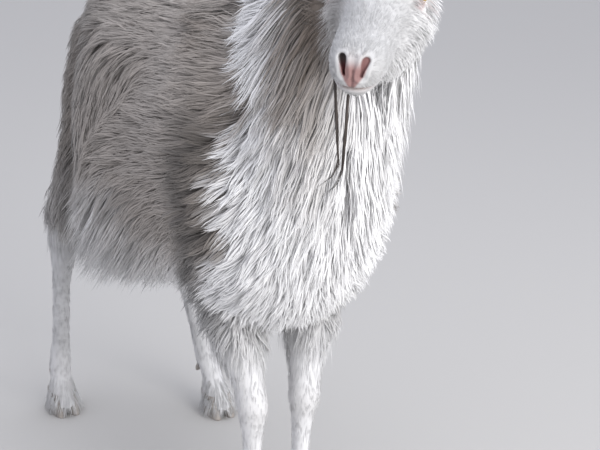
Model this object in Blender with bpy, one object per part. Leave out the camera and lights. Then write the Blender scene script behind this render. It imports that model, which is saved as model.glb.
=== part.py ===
"""A standing saanen goat, life size, with its head turned towards its right side.

Metres, +Z up. The goat faces -Y and its left side is +X. The body is made whole: lofts between unlike
sections are the core, and flat, tapered locks of hair lie over it. Thin cuts then part it into nodes.
"""

import math
import random

import bmesh
import bpy
from mathutils import Matrix, Vector
from mathutils.bvhtree import BVHTree

GAP = 0.0003
SEED = 7

# Trunk: place along the body, half width, top, bottom, how much wider below than above, coat over it
TRUNK = [
    (-0.354, 0.026, 0.590, 0.490, 0.00, 0.026),
    (-0.343, 0.056, 0.630, 0.450, 0.00, 0.032),
    (-0.322, 0.084, 0.665, 0.415, 0.00, 0.034),
    (-0.280, 0.120, 0.705, 0.385, -0.05, 0.034),
    (-0.210, 0.130, 0.732, 0.374, 0.00, 0.032),
    (-0.120, 0.132, 0.730, 0.368, 0.10, 0.028),
    (-0.020, 0.138, 0.722, 0.366, 0.15, 0.026),
    (0.080, 0.136, 0.722, 0.372, 0.15, 0.025),
    (0.165, 0.110, 0.728, 0.385, 0.10, 0.024),
    (0.230, 0.082, 0.728, 0.425, 0.00, 0.022),
    (0.285, 0.064, 0.708, 0.480, 0.00, 0.018),
    (0.325, 0.052, 0.684, 0.525, 0.00, 0.016),
    (0.346, 0.038, 0.660, 0.565, 0.00, 0.016),
    (0.356, 0.020, 0.640, 0.600, 0.00, 0.014),
]
TRUNK_SIDES = 20

# Neck: centre of each section, half width, half depth, coat over it
NECK = [
    (0.000, -0.225, 0.560, 0.098, 0.160, 0.034),
    (0.003, -0.285, 0.635, 0.082, 0.122, 0.036),
    (0.010, -0.332, 0.705, 0.066, 0.094, 0.034),
    (0.020, -0.380, 0.762, 0.056, 0.072, 0.026),
    (0.030, -0.420, 0.800, 0.045, 0.056, 0.012),
    (0.021, -0.452, 0.800, 0.036, 0.048, 0.000),
]
NECK_SIDES = 16

# Head, in its own frame: origin midway between the nostrils, x to the goat's left, y back, z up
NOSE = Vector((-0.084, -0.578, 0.748))
HEAD_TURN, HEAD_NOD, HEAD_LEAN = math.radians(38.6), math.radians(8.0), math.radians(6.0)
# Place behind the nose, half width, top, bottom, how much wider below than above
HEAD = [
    (-0.007, 0.0120, 0.009, -0.014, 0.00),
    (-0.002, 0.0205, 0.015, -0.025, 0.00),
    (0.009, 0.0260, 0.021, -0.034, 0.05),
    (0.028, 0.0272, 0.026, -0.036, 0.00),
    (0.055, 0.0268, 0.033, -0.035, -0.05),
    (0.085, 0.0310, 0.042, -0.041, -0.10),
    (0.110, 0.0385, 0.053, -0.050, -0.12),
    (0.132, 0.0445, 0.063, -0.058, -0.10),
    (0.158, 0.0470, 0.069, -0.062, 0.00),
    (0.182, 0.0430, 0.067, -0.054, 0.00),
    (0.204, 0.0340, 0.056, -0.034, 0.00),
    (0.218, 0.0180, 0.038, -0.008, 0.00),
]
HEAD_SIDES, HEAD_COAT = 20, 0.002
EYE_PLACE, EYE_RADIUS = Vector((0.0335, 0.128, 0.032)), 0.0125
ORBIT_PLACE, ORBIT_SIZE = Vector((0.0285, 0.131, 0.031)), Vector((0.0155, 0.0250, 0.0210))
LID_LENGTH, LID_HEIGHT, LID_THICKNESS, LID_OUT, LID_BOW = 0.0145, 0.0098, 0.0026, 0.0082, 0.004
LID_POINTS, LID_SIDES = 12, 5
NOSTRIL_TOP, NOSTRIL_FOOT = Vector((0.0148, -0.002, 0.010)), Vector((0.0075, -0.006, -0.006))
NOSTRIL_WIDTH, NOSTRIL_DEPTH = 0.0030, 0.010
# Line of the mouth: height at the front, rise to the corner, how far back the corner is, half its thickness
MOUTH_FRONT, MOUTH_RISE, MOUTH_CORNER, MOUTH_LINE = -0.0215, 0.010, 0.052, 0.0018
# Its points, its share of the head's width, and how far it starts before the nose
MOUTH_POINTS, MOUTH_WIDTH, MOUTH_AHEAD = 13, 0.90, 0.0045

# Ears: root in the head's frame, length, width, wall, depth of the cup, how far out, up and forward they go
EAR_ROOT = Vector((0.033, 0.168, 0.054))
EAR_LENGTH, EAR_WIDTH, EAR_WALL, EAR_CUP = 0.120, 0.048, 0.0035, 0.016
EAR_OUT, EAR_UP, EAR_FORWARD = 0.80, 0.52, 0.25
# Share of the length, share of the width, share of the cup's depth
EAR_STATIONS = ((-0.08, 0.30, 0.55), (0.06, 0.44, 0.80), (0.25, 0.86, 1.0), (0.50, 1.0, 0.85),
                (0.75, 0.74, 0.50), (0.92, 0.34, 0.20), (1.0, 0.10, 0.05))
EAR_POINTS = 7

# Legs: centre of each section, half width, half length fore and aft, for the left side
FORELEG = [
    (0.072, -0.195, 0.520, 0.046, 0.075),
    (0.070, -0.205, 0.440, 0.042, 0.060),
    (0.060, -0.216, 0.385, 0.034, 0.044),
    (0.048, -0.226, 0.330, 0.0270, 0.0320),
    (0.039, -0.234, 0.282, 0.0205, 0.0235),
    (0.036, -0.238, 0.252, 0.0210, 0.0240),
    (0.035, -0.236, 0.226, 0.0165, 0.0190),
    (0.034, -0.232, 0.190, 0.0125, 0.0150),
    (0.034, -0.230, 0.130, 0.0122, 0.0145),
    (0.034, -0.232, 0.098, 0.0150, 0.0175),
    (0.034, -0.235, 0.080, 0.0165, 0.0195),
    (0.034, -0.245, 0.055, 0.0155, 0.0170),
    (0.034, -0.254, 0.033, 0.0205, 0.0230),
]
HINDLEG = [
    (0.044, 0.250, 0.640, 0.032, 0.070),
    (0.053, 0.244, 0.570, 0.038, 0.082),
    (0.060, 0.240, 0.500, 0.038, 0.078),
    (0.072, 0.250, 0.440, 0.036, 0.060),
    (0.079, 0.282, 0.385, 0.035, 0.048),
    (0.081, 0.321, 0.335, 0.0290, 0.0365),
    (0.0855, 0.342, 0.298, 0.0235, 0.0313),
    (0.090, 0.338, 0.262, 0.0193, 0.0240),
    (0.097, 0.330, 0.215, 0.0150, 0.0175),
    (0.104, 0.316, 0.140, 0.0145, 0.0165),
    (0.108, 0.311, 0.100, 0.0170, 0.0195),
    (0.110, 0.308, 0.080, 0.0185, 0.0210),
    (0.112, 0.298, 0.055, 0.0170, 0.0185),
    (0.112, 0.292, 0.033, 0.0220, 0.0240),
]
LEG_SIDES = 12
# How far each hind foot is behind the plain stance, growing from the hip down, and the sway of the hocks
HIND_STEP = {"left": -0.058, "right": 0.062}
STEP_POWER, HOCK_SWAY = 2.8, -0.008
DEWCLAW_HEIGHT, DEWCLAW_RADIUS, DEWCLAW_SPREAD = 0.070, 0.0060, 0.010

# Claws of the hoof: length, width, height, gap between the two, how far the toe slopes back
CLAW_LENGTH, CLAW_WIDTH, CLAW_HEIGHT, CLAW_GAP, CLAW_SLOPE = 0.056, 0.0205, 0.0327, 0.003, 0.014
CLAW_SIDES, CLAW_FORWARD = 12, 0.008

# Tail: centre of each section, half width, half depth
TAIL = [
    (0.000, 0.315, 0.650, 0.026, 0.020),
    (0.000, 0.358, 0.660, 0.021, 0.016),
    (0.000, 0.396, 0.652, 0.017, 0.013),
    (0.000, 0.418, 0.622, 0.013, 0.011),
    (0.000, 0.426, 0.588, 0.009, 0.008),
    (0.000, 0.427, 0.566, 0.004, 0.004),
]
TAIL_SIDES = 12

# The core reaches this share of the way out to the tips of the coat
CORE_SHARE = 0.4
# Locks: width, thickness, depth of the root in the core; (share of length, share of width) at each station
LOCK_WIDTH, LOCK_THICKNESS, LOCK_ROOT = 0.088, 0.012, 0.012
# Thinnest share of the thickness, how strongly a lock that hangs free is held to the core, share of the lift
# that its first bend has, and how fast it turns with the core and towards its lie
LOCK_THINNEST, LOCK_HOLD, LOCK_RISE, LOCK_TURN, LOCK_FALL = 0.5, 0.25, 0.3, 0.8, 0.35
LOCK_STATIONS = ((0.0, 0.60), (0.30, 1.0), (0.62, 0.82), (0.86, 0.42))
# Flank: first and last place along the body, the step, and (angle down from the spine, length) of each level
FLANK_FIRST, FLANK_LAST, FLANK_STEP = -0.165, 0.315, 0.096
FLANK_LEVELS = ((20, 0.155), (52, 0.160), (82, 0.160), (110, 0.150), (136, 0.115))
FLANK_MIDDLE, FLANK_BACKWARDS, FLANK_SPREAD, FLANK_LIFT = 0.555, 0.55, 0.25, 0.015
# Spine: (place along the body, which side it leans to) of each lock, and their length
SPINE_ROOTS = ((-0.165, 1), (-0.095, -1), (-0.020, 1), (0.055, -1), (0.130, 1), (0.205, -1))
SPINE_LENGTH, SPINE_LEAN, SPINE_WIDTH, SPINE_LIE = 0.135, 0.016, 0.074, (0.22, 1.0, -0.05)
# Chest and rump: the upright line they stand round, (height, length) of each level, angles from the front,
# and (spread, way back, lift at the tip, share of the full width)
CHEST_LINE, CHEST_LEVELS = -0.200, ((0.645, 0.150), (0.565, 0.150), (0.485, 0.130))
CHEST_ANGLES = (-85, -51, -17, 17, 51, 85)
CHEST_FALL, RUMP_FALL = (0.40, 0.05, 0.026, 1.15), (0.10, 0.15, 0.010, 1.0)
RUMP_LINE, RUMP_LEVELS = 0.240, ((0.680, 0.110), (0.600, 0.120), (0.520, 0.110))
RUMP_ANGLES = (112, 146, 180, 214, 248)
# Neck: place along its rows, number of locks round it, length
NECK_RINGS = ((1.5, 9, 0.150), (2.4, 8, 0.130), (3.2, 8, 0.105))
# How near a lock's root is to the neck's line, its lift, and how far it lies down the neck, down and out
NECK_REACH, NECK_LIFT, NECK_LIE = 0.16, 0.020, (0.75, 0.7, 0.1)
# How far a lock strays from its level's angle, its fall for its length, and the shortest that is made
STRAY_ANGLE, FALL_SHARE, SHORTEST = 5.0, 0.84, 0.04
# Hem of the coat: place along the body, lowest tip there
HEM = ((-0.25, 0.396), (-0.15, 0.388), (-0.08, 0.376), (0.00, 0.350), (0.10, 0.326), (0.20, 0.310))
# Beard: (place to the left, place back, length) of each strand in the head's frame
BEARD_STRANDS = ((-0.019, 0.028, 0.115), (-0.008, 0.029, 0.125), (-0.012, 0.035, 0.105))
BEARD_STATIONS = ((0.0, 1.0), (0.25, 1.0), (0.5, 0.8), (0.75, 0.6), (0.9, 0.4), (1.0, 0.0))
BEARD_ROOT_HEIGHT, BEARD_ROOT_DEPTH, BEARD_GATHER = -0.008, 0.012, 3.0
BEARD_WIDTH, BEARD_THICKNESS, BEARD_CURL = 0.0085, 0.0060, 0.075
TAIL_RINGS = ((1.7, 5), (2.9, 4))
TAIL_LOCK_LENGTH, TAIL_LOCK_WIDTH, TAIL_REACH, TAIL_LIE = 0.070, 0.026, 0.04, (0.8, 0.6, 0.15)
# Cheek: (place back, height) of each lock's root in the head's frame
CHEEK_ROOTS = ((0.146, -0.012), (0.150, -0.034), (0.136, -0.050), (0.112, -0.046))
CHEEK_LENGTH, CHEEK_WIDTH = 0.048, 0.022
CHEEK_OUT, CHEEK_LIE = Vector((1.0, 0.15, -0.25)), Vector((0.25, 0.55, -0.9))
SHORT_THICKNESS, SHORT_LIFT = 0.006, 0.006

# Cuts that part the nodes: centre, normal, half the side of the thin sheet
NECK_CUT = (Vector((0.0, -0.290, 0.630)), Vector((0.0, -0.72, 0.69)), 0.30)
HEAD_CUT_PLACE, HEAD_CUT_LEAN, HEAD_CUT_SIDE = Vector((0.0, 0.184, 0.0)), math.radians(26.0), 0.15
FORELEG_CUT, HINDLEG_CUT, LEG_CUT_SIDE = 0.325, 0.330, 0.045
TAIL_CUT, TAIL_CUT_SIDE = 0.384, 0.08
EAR_CUT_SHARE, EAR_CUT_SIDE = 0.16, 0.026

WHITE = (0.78, 0.76, 0.74)
GREY = (0.42, 0.40, 0.38)
HORN_BROWN = (0.17, 0.14, 0.11)
EYE_AMBER = (0.42, 0.27, 0.07)

ACROSS, ALONG, UP = Vector((1.0, 0.0, 0.0)), Vector((0.0, 1.0, 0.0)), Vector((0.0, 0.0, 1.0))


def material(name, colour, roughness):
    """A Principled BSDF of one colour."""
    made = bpy.data.materials.new(name)
    made.use_nodes = True
    shader = made.node_tree.nodes["Principled BSDF"]
    shader.inputs["Base Color"].default_value = (*colour, 1.0)
    shader.inputs["Roughness"].default_value = roughness
    return made


def collection(name):
    """A collection under the scene's own."""
    made = bpy.data.collections.new(name)
    bpy.context.scene.collection.children.link(made)
    return made


def object_of(name, shape, into):
    """A mesh object from a bmesh, all triangles, faces pointing out."""
    bmesh.ops.triangulate(shape, faces=shape.faces)
    bmesh.ops.recalc_face_normals(shape, faces=shape.faces)
    mesh = bpy.data.meshes.new(name)
    shape.to_mesh(mesh)
    shape.free()
    made = bpy.data.objects.new(name, mesh)
    into.objects.link(made)
    return made


def ring(centre, across, up, half_width, half_height, sides, egg=0.0):
    """An oval section, wider below its middle than above by the share egg."""
    points = []
    for i in range(sides):
        turn = math.tau * i / sides
        reach = math.cos(turn) * half_width * (1.0 - egg * math.sin(turn))
        points.append(centre + across * reach + up * (math.sin(turn) * half_height))
    return points


def loft(name, rings, into, tip=None):
    """A closed body through sections of the same number of points, capped flat or with a pointed tip."""
    shape = bmesh.new()
    rows = [[shape.verts.new(point) for point in section] for section in rings]
    sides = len(rows[0])
    for low, high in zip(rows, rows[1:]):
        for i in range(sides):
            after = (i + 1) % sides
            shape.faces.new((low[i], low[after], high[after]))
            shape.faces.new((low[i], high[after], high[i]))
    for row, point in ((rows[0], None), (rows[-1], tip)):
        if point is None:
            point = sum((vertex.co for vertex in row), Vector()) / sides
        middle = shape.verts.new(point)
        for i in range(sides):
            shape.faces.new((middle, row[i], row[(i + 1) % sides]))
    return object_of(name, shape, into)


def finer(rows, steps):
    """Rows with steps times as many, on a smooth curve through the given ones."""
    made = []
    for i in range(len(rows) - 1):
        before, here = rows[max(i - 1, 0)], rows[i]
        after, beyond = rows[i + 1], rows[min(i + 2, len(rows) - 1)]
        for k in range(steps):
            t = k / steps
            made.append(tuple(
                0.5 * (2 * b + (c - a) * t + (2 * a - 5 * b + 4 * c - d) * t * t
                       + (3 * b - a - 3 * c + d) * t * t * t)
                for a, b, c, d in zip(before, here, after, beyond)))
    made.append(tuple(rows[-1]))
    return made


def path_frames(rows):
    """Centre, direction, across and up of each section square to the path through the rows' centres."""
    centres = [Vector(row[:3]) for row in rows]
    frames = []
    for i, centre in enumerate(centres):
        along = (centres[min(i + 1, len(rows) - 1)] - centres[max(i - 1, 0)]).normalized()
        across = (ACROSS - along * along.x).normalized()
        frames.append((centre, along, across, along.cross(across)))
    return frames


def path_rings(rows, sides, share=0.0):
    """Oval sections square to a path: rows of x, y, z, half width, half depth and, if any, coat."""
    rings = []
    for row, (centre, _, across, up) in zip(rows, path_frames(rows)):
        coat = share * row[5] if share else 0.0
        rings.append(ring(centre, across, up, row[3] + coat, row[4] + coat, sides))
    return rings


def level_rings(rows, sides):
    """Level oval sections: rows of x, y, z, half width, half length."""
    return [ring(Vector(row[:3]), ACROSS, ALONG, row[3], row[4], sides) for row in rows]


def head_matrix():
    """The head's own frame in the goat's."""
    return (Matrix.Translation(NOSE) @ Matrix.Rotation(-HEAD_TURN, 4, "Z")
            @ Matrix.Rotation(HEAD_NOD, 4, "X") @ Matrix.Rotation(HEAD_LEAN, 4, "Y"))


def on_side(place, side):
    """A place on the head's left, or its mirror on the right."""
    return Vector((place.x * side, place.y, place.z))


def upright_rings(rows, sides, share):
    """Oval sections square to the way back: rows of place, half width, top, bottom, egg and coat."""
    rings = []
    for along, half_width, top, bottom, egg, coat in rows:
        centre = Vector((0.0, along, (top + bottom) / 2))
        rings.append(ring(centre, ACROSS, UP, half_width + share * coat,
                          (top - bottom) / 2 + share * coat, sides, egg))
    return rings


def trunk(into):
    """Chest, barrel, loin and rump under their locks."""
    return loft("trunk", upright_rings(TRUNK, TRUNK_SIDES, CORE_SHARE), into)


def skull(into):
    """The head without its ears: skull, brows, lids."""
    place = head_matrix()
    rows = [(*row, HEAD_COAT) for row in finer(HEAD, 2)]
    rings = upright_rings(rows, HEAD_SIDES, 1.0)
    loft("skull", [[place @ point for point in section] for section in rings], into)
    for side in (1, -1):
        brow = Matrix.Translation(on_side(ORBIT_PLACE, side)) @ Matrix.Diagonal((*ORBIT_SIZE, 1))
        ball("brow", place @ brow, into)
        lids(side, into)


def lids(side, into):
    """The rim of both lids round one eye, an almond shape."""
    place = head_matrix()
    centre = on_side(EYE_PLACE, side)
    shape = bmesh.new()
    rows = []
    for i in range(LID_POINTS):
        turn = math.tau * i / LID_POINTS
        wide, high = math.cos(turn), math.sin(turn)
        bow = LID_OUT - LID_BOW * wide * wide
        middle = centre + Vector((side * bow, LID_LENGTH * wide, LID_HEIGHT * high))
        out = Vector((side * 0.6, wide, high)).normalized()
        tangent = Vector((0.0, -high * LID_LENGTH, wide * LID_HEIGHT)).normalized()
        depth = tangent.cross(out).normalized()
        rows.append([shape.verts.new(place @ (middle + out * (LID_THICKNESS * math.cos(a))
                                              + depth * (LID_THICKNESS * math.sin(a))))
                     for a in (math.tau * k / LID_SIDES for k in range(LID_SIDES))])
    for i, row in enumerate(rows):
        after = rows[(i + 1) % len(rows)]
        for k in range(LID_SIDES):
            beside = (k + 1) % LID_SIDES
            shape.faces.new((row[k], row[beside], after[beside], after[k]))
    return object_of("lids", shape, into)


def ball(name, matrix, into, segments=12, rings=8):
    """A unit ball placed, scaled and turned by a matrix."""
    shape = bmesh.new()
    bmesh.ops.create_uvsphere(shape, u_segments=segments, v_segments=rings, radius=1.0, matrix=matrix)
    return object_of(name, shape, into)


def leg_rows(rows, side):
    """The rows of one leg, mirrored for the right, with a hind foot moved along by its step."""
    step = HIND_STEP["left" if side > 0 else "right"] if rows is HINDLEG else 0.0
    sway = HOCK_SWAY if rows is HINDLEG else 0.0
    top, foot = rows[0][2], rows[-1][2]
    made = []
    for x, y, z, half_width, half_length in rows:
        share = (top - z) / (top - foot)
        made.append((x * side + 4 * sway * share * (1 - share), y + step * share ** STEP_POWER, z,
                     half_width, half_length))
    return made


def dewclaws(rows, into):
    """The two small claws at the back of the fetlock."""
    fetlock = min(rows, key=lambda row: abs(row[2] - DEWCLAW_HEIGHT))
    for side in (-1, 1):
        base = Vector((fetlock[0] + side * DEWCLAW_SPREAD, fetlock[1] + fetlock[4] * 0.55, DEWCLAW_HEIGHT))
        tip = base + Vector((side * 0.002, 0.016, -0.014))
        rows_of_claw = [(*base, DEWCLAW_RADIUS, DEWCLAW_RADIUS),
                        (*((base + tip) / 2), DEWCLAW_RADIUS, DEWCLAW_RADIUS * 0.8),
                        (*tip, DEWCLAW_RADIUS * 0.4, DEWCLAW_RADIUS * 0.35)]
        loft("dewclaw", path_rings(rows_of_claw, 8), into)


def hoof_claw(name, centre, side, into):
    """One half of a cloven hoof: flat sole, sloping toe, flat top under the leg."""
    outline = []
    for i in range(CLAW_SIDES):
        turn = math.tau * i / CLAW_SIDES
        reach = abs(math.cos(turn)) ** 0.7 * math.copysign(1, math.cos(turn))
        outline.append((reach * CLAW_WIDTH / 2, math.sin(turn) * CLAW_LENGTH / 2))
    shift = side * (CLAW_WIDTH + CLAW_GAP) / 2
    rings = []
    for height, scale, back in ((0.0, 0.97, 0.0), (0.004, 1.0, 0.0015), (CLAW_HEIGHT, 0.80, CLAW_SLOPE)):
        rings.append([Vector((centre.x + shift + x * (0.5 + scale / 2), centre.y + back + y * scale, height))
                      for x, y in outline])
    return loft(name, rings, into)


def ear_line(side):
    """The root of an ear and the way it points, in the head's frame."""
    return on_side(EAR_ROOT, side), Vector((EAR_OUT * side, -EAR_FORWARD, EAR_UP)).normalized()


def ear(side, into):
    """One ear: a leaf shape with a cup on its forward face."""
    place = head_matrix()
    root, along = ear_line(side)
    ahead = Vector((0.25 * side, -1.0, -0.10))
    front = (ahead - along * along.dot(ahead)).normalized()
    across = along.cross(front).normalized()
    rings = []
    for share, width, cup in EAR_STATIONS:
        centre = root + along * (share * EAR_LENGTH)
        outer, inner = [], []
        for i in range(EAR_POINTS):
            reach = -1 + 2 * i / (EAR_POINTS - 1)
            bow = -cup * EAR_CUP * (1 - reach * reach)
            wall = EAR_WALL * (1.0 if 0 < i < EAR_POINTS - 1 else 0.45)
            edge = centre + across * (width * EAR_WIDTH / 2 * reach)
            outer.append(edge + front * (bow - wall))
            inner.append(edge + front * bow)
        rings.append([place @ point for point in outer + inner[::-1]])
    return loft(f"ear_{'left' if side > 0 else 'right'}", rings, into)


def surface_of(objects):
    """A search tree over several meshes."""
    vertices, faces = [], []
    for item in objects:
        first = len(vertices)
        vertices += [vertex.co.copy() for vertex in item.data.vertices]
        faces += [[first + index for index in face.vertices] for face in item.data.polygons]
    return BVHTree.FromPolygons(vertices, faces)


def root_on(core, inner, outwards):
    """Where a line from outside meets the core on its way to an inner point, and the core's normal there."""
    start = inner + outwards.normalized()
    place, normal, _, _ = core.ray_cast(start, -outwards)
    return (place, normal) if place else (None, None)


def hem_at(point):
    """The lowest height that a tip may have here."""
    for (place, height), (beyond, height_beyond) in zip(HEM, HEM[1:]):
        if point.y < beyond:
            share = max((point.y - place) / (beyond - place), 0.0)
            return height + (height_beyond - height) * share
    return HEM[-1][1]


def lock(core, root, normal, lie, length, width, thickness, lift, into):
    """One flat, tapered lock: rooted in the core, it bends to lie over it and ends in a point."""
    flow = (lie - normal * lie.dot(normal)).normalized()
    rings, last = [], 0.0
    place = root - normal * LOCK_ROOT * (thickness / LOCK_THICKNESS)
    for share, wide in (*LOCK_STATIONS, (1.0, 0.0)):
        if share > 0:
            start = place if last else root + normal * LOCK_RISE * lift
            place = start + flow * ((share - last) * length)
            near, near_normal, _, _ = core.find_nearest(place)
            away = place - near
            above, wanted = away.dot(near_normal), lift * share ** 0.7
            if above < wanted:
                place = near + near_normal * wanted
            elif above > wanted:
                place = place - near_normal * (above - wanted) * LOCK_HOLD
            normal = (normal + near_normal * LOCK_TURN).normalized()
            flow = (flow + lie * LOCK_FALL).normalized()
        across = flow.cross(normal).normalized()
        out = across.cross(flow).normalized()
        half = width * wide / 2
        rings.append([place - across * half, place + out * thickness * max(wide, LOCK_THINNEST),
                      place + across * half])
        last = share
    return loft("lock", rings[:-1], into, tip=place)


def flank_locks(core, draw, into):
    """Levels of locks from the spine to the belly on both sides, falling down and back."""
    count = round((FLANK_LAST - FLANK_FIRST) / FLANK_STEP)
    for level, (angle, length) in enumerate(FLANK_LEVELS):
        for side in (1, -1):
            for i in range(count + 1):
                along = FLANK_FIRST + FLANK_STEP * (i + 0.5 * (level % 2)) + draw.uniform(-0.008, 0.008)
                turn = math.radians(angle + draw.uniform(-STRAY_ANGLE, STRAY_ANGLE))
                out = Vector((side * math.sin(turn), 0.0, math.cos(turn)))
                root, normal = root_on(core, Vector((0.0, along, FLANK_MIDDLE)), out)
                if root is None:
                    continue
                lie = Vector((side * FLANK_SPREAD * math.cos(turn), FLANK_BACKWARDS, -1.0)).normalized()
                own = length * draw.uniform(0.9, 1.12)
                room = root.z - hem_at(root + lie * own)
                own = min(own, room / FALL_SHARE)
                if own > SHORTEST:
                    lock(core, root, normal, lie, own, LOCK_WIDTH * draw.uniform(0.9, 1.15), LOCK_THICKNESS,
                         FLANK_LIFT, into)


def spine_locks(core, draw, into):
    """A row of locks along the back that lie backwards over the spine."""
    for along, side in SPINE_ROOTS:
        root, normal = root_on(core, Vector((side * SPINE_LEAN, along, 0.6)), UP)
        lie = Vector((side * SPINE_LIE[0], *SPINE_LIE[1:])).normalized()
        lock(core, root, normal, lie, SPINE_LENGTH * draw.uniform(0.95, 1.08), SPINE_WIDTH, LOCK_THICKNESS,
             FLANK_LIFT * 0.7, into)


def end_locks(core, draw, line, levels, angles, fall, into):
    """Locks round the chest or the rump, spreading as they fall."""
    spread, backwards, lift, wide = fall
    for level, (height, length) in enumerate(levels):
        for k, angle in enumerate(angles):
            stray = draw.uniform(-STRAY_ANGLE, STRAY_ANGLE)
            turn = math.radians(angle + (angles[1] - angles[0]) * 0.5 * (level % 2) + stray)
            out = Vector((math.sin(turn), -math.cos(turn), 0.0))
            inner = Vector((0.0, line, height + draw.uniform(-0.012, 0.012)))
            root, normal = root_on(core, inner, out)
            if root is None:
                continue
            lie = Vector((spread * math.sin(turn), backwards, -1.0)).normalized()
            own = length * draw.uniform(0.9, 1.12)
            own = min(own, (root.z - hem_at(root + lie * own)) / FALL_SHARE)
            if own > SHORTEST:
                own_width = LOCK_WIDTH * wide * draw.uniform(0.9, 1.1)
                lock(core, root, normal, lie, own, own_width, LOCK_THICKNESS, lift, into)


def neck_locks(core, draw, into):
    """Rings of long locks round the neck that fall towards the shoulders and chest."""
    frames = path_frames(NECK)
    for at, count, length in NECK_RINGS:
        low = int(at)
        share = at - low
        centre, along, across, up = (a.lerp(b, share) for a, b in zip(frames[low], frames[low + 1]))
        for i in range(count):
            turn = math.tau * (i + 0.5 * (low % 2)) / count + draw.uniform(-0.12, 0.12)
            out = across * math.cos(turn) + up * math.sin(turn)
            root, normal = root_on(core, centre, out)
            if root is None or (root - centre).length > NECK_REACH:
                continue
            down_neck, down, outwards = NECK_LIE
            lie = (-along * down_neck - UP * down + out * outwards).normalized()
            own = length * draw.uniform(0.9, 1.1)
            own_width = LOCK_WIDTH * draw.uniform(0.8, 1.0)
            lock(core, root, normal, lie, own, own_width, LOCK_THICKNESS, NECK_LIFT, into)


def tail_locks(core, draw, into):
    """Short locks that hang from the tail."""
    frames = path_frames(TAIL)
    for at, count in TAIL_RINGS:
        low = int(at)
        centre, along, across, up = (a.lerp(b, at - low) for a, b in zip(frames[low], frames[low + 1]))
        for i in range(count):
            turn = math.tau * (i + 0.5 * (low % 2)) / count
            out = across * math.cos(turn) + up * math.sin(turn)
            root, normal = root_on(core, centre, out)
            if root is None or (root - centre).length > TAIL_REACH:
                continue
            down_tail, down, outwards = TAIL_LIE
            lie = (along * down_tail - UP * down + out * outwards).normalized()
            lock(core, root, normal, lie, TAIL_LOCK_LENGTH * draw.uniform(0.9, 1.1), TAIL_LOCK_WIDTH,
                 SHORT_THICKNESS, SHORT_LIFT, into)


def beard(into):
    """Thin wet strands under the chin that run together and curl at the tip."""
    place = head_matrix()
    across, out = place.to_3x3() @ ACROSS, place.to_3x3() @ -ALONG
    for left, back, length in BEARD_STRANDS:
        root = place @ Vector((left, back, BEARD_ROOT_HEIGHT))
        fall = (-UP - across * (left * BEARD_GATHER)).normalized()
        rings = []
        for share, wide in BEARD_STATIONS:
            middle = root + fall * (share * length - (0.0 if share else BEARD_ROOT_DEPTH))
            middle -= across * (BEARD_CURL * max(share - 0.5, 0.0) ** 1.5)
            half, thick = BEARD_WIDTH * wide / 2, BEARD_THICKNESS * wide / 2
            rings.append([middle - across * half, middle + out * thick,
                          middle + across * half, middle - out * thick])
        loft("strand", rings[:-1], into, tip=middle)


def cheek_locks(core, draw, into):
    """Short locks behind and under each cheek."""
    place = head_matrix()
    for side in (1, -1):
        for back, height in CHEEK_ROOTS:
            inner = place @ Vector((0.0, back, height))
            out = place.to_3x3() @ on_side(CHEEK_OUT, side)
            root, normal = root_on(core, inner, out)
            lie = (place.to_3x3() @ on_side(CHEEK_LIE, side)).normalized()
            own = CHEEK_LENGTH * draw.uniform(0.9, 1.1)
            lock(core, root, normal, lie, own, CHEEK_WIDTH, SHORT_THICKNESS, SHORT_LIFT, into)


def sheet(name, centre, normal, half_side, into):
    """A thin square plate that parts the body."""
    turn = normal.to_track_quat("Z", "Y").to_matrix().to_4x4()
    size = Matrix.Diagonal((2 * half_side, 2 * half_side, GAP, 1.0))
    shape = bmesh.new()
    bmesh.ops.create_cube(shape, size=1.0, matrix=Matrix.Translation(centre) @ turn @ size)
    return object_of(name, shape, into)


def head_cut_normal():
    """The way the cut behind the jaw and poll faces, in the head's frame."""
    return Vector((0.0, -math.cos(HEAD_CUT_LEAN), math.sin(HEAD_CUT_LEAN)))


def parting_sheets(into):
    """One thin sheet for each place where two nodes meet."""
    place = head_matrix()
    sheet("neck cut", *NECK_CUT, into)
    sheet("head cut", place @ HEAD_CUT_PLACE, place.to_3x3() @ head_cut_normal(), HEAD_CUT_SIDE, into)
    sheet("tail cut", Vector((0.0, TAIL_CUT, TAIL[1][2])), ALONG, TAIL_CUT_SIDE, into)
    for side in (1, -1):
        root, along = ear_line(side)
        middle = place @ (root + along * (EAR_CUT_SHARE * EAR_LENGTH))
        sheet("ear cut", middle, place.to_3x3() @ along, EAR_CUT_SIDE, into)
        for rows, height in ((FORELEG, FORELEG_CUT), (HINDLEG, HINDLEG_CUT)):
            near = min(leg_rows(rows, side), key=lambda row: abs(row[2] - height))
            sheet("leg cut", Vector((near[0], near[1], height)), UP, LEG_CUT_SIDE, into)


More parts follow.
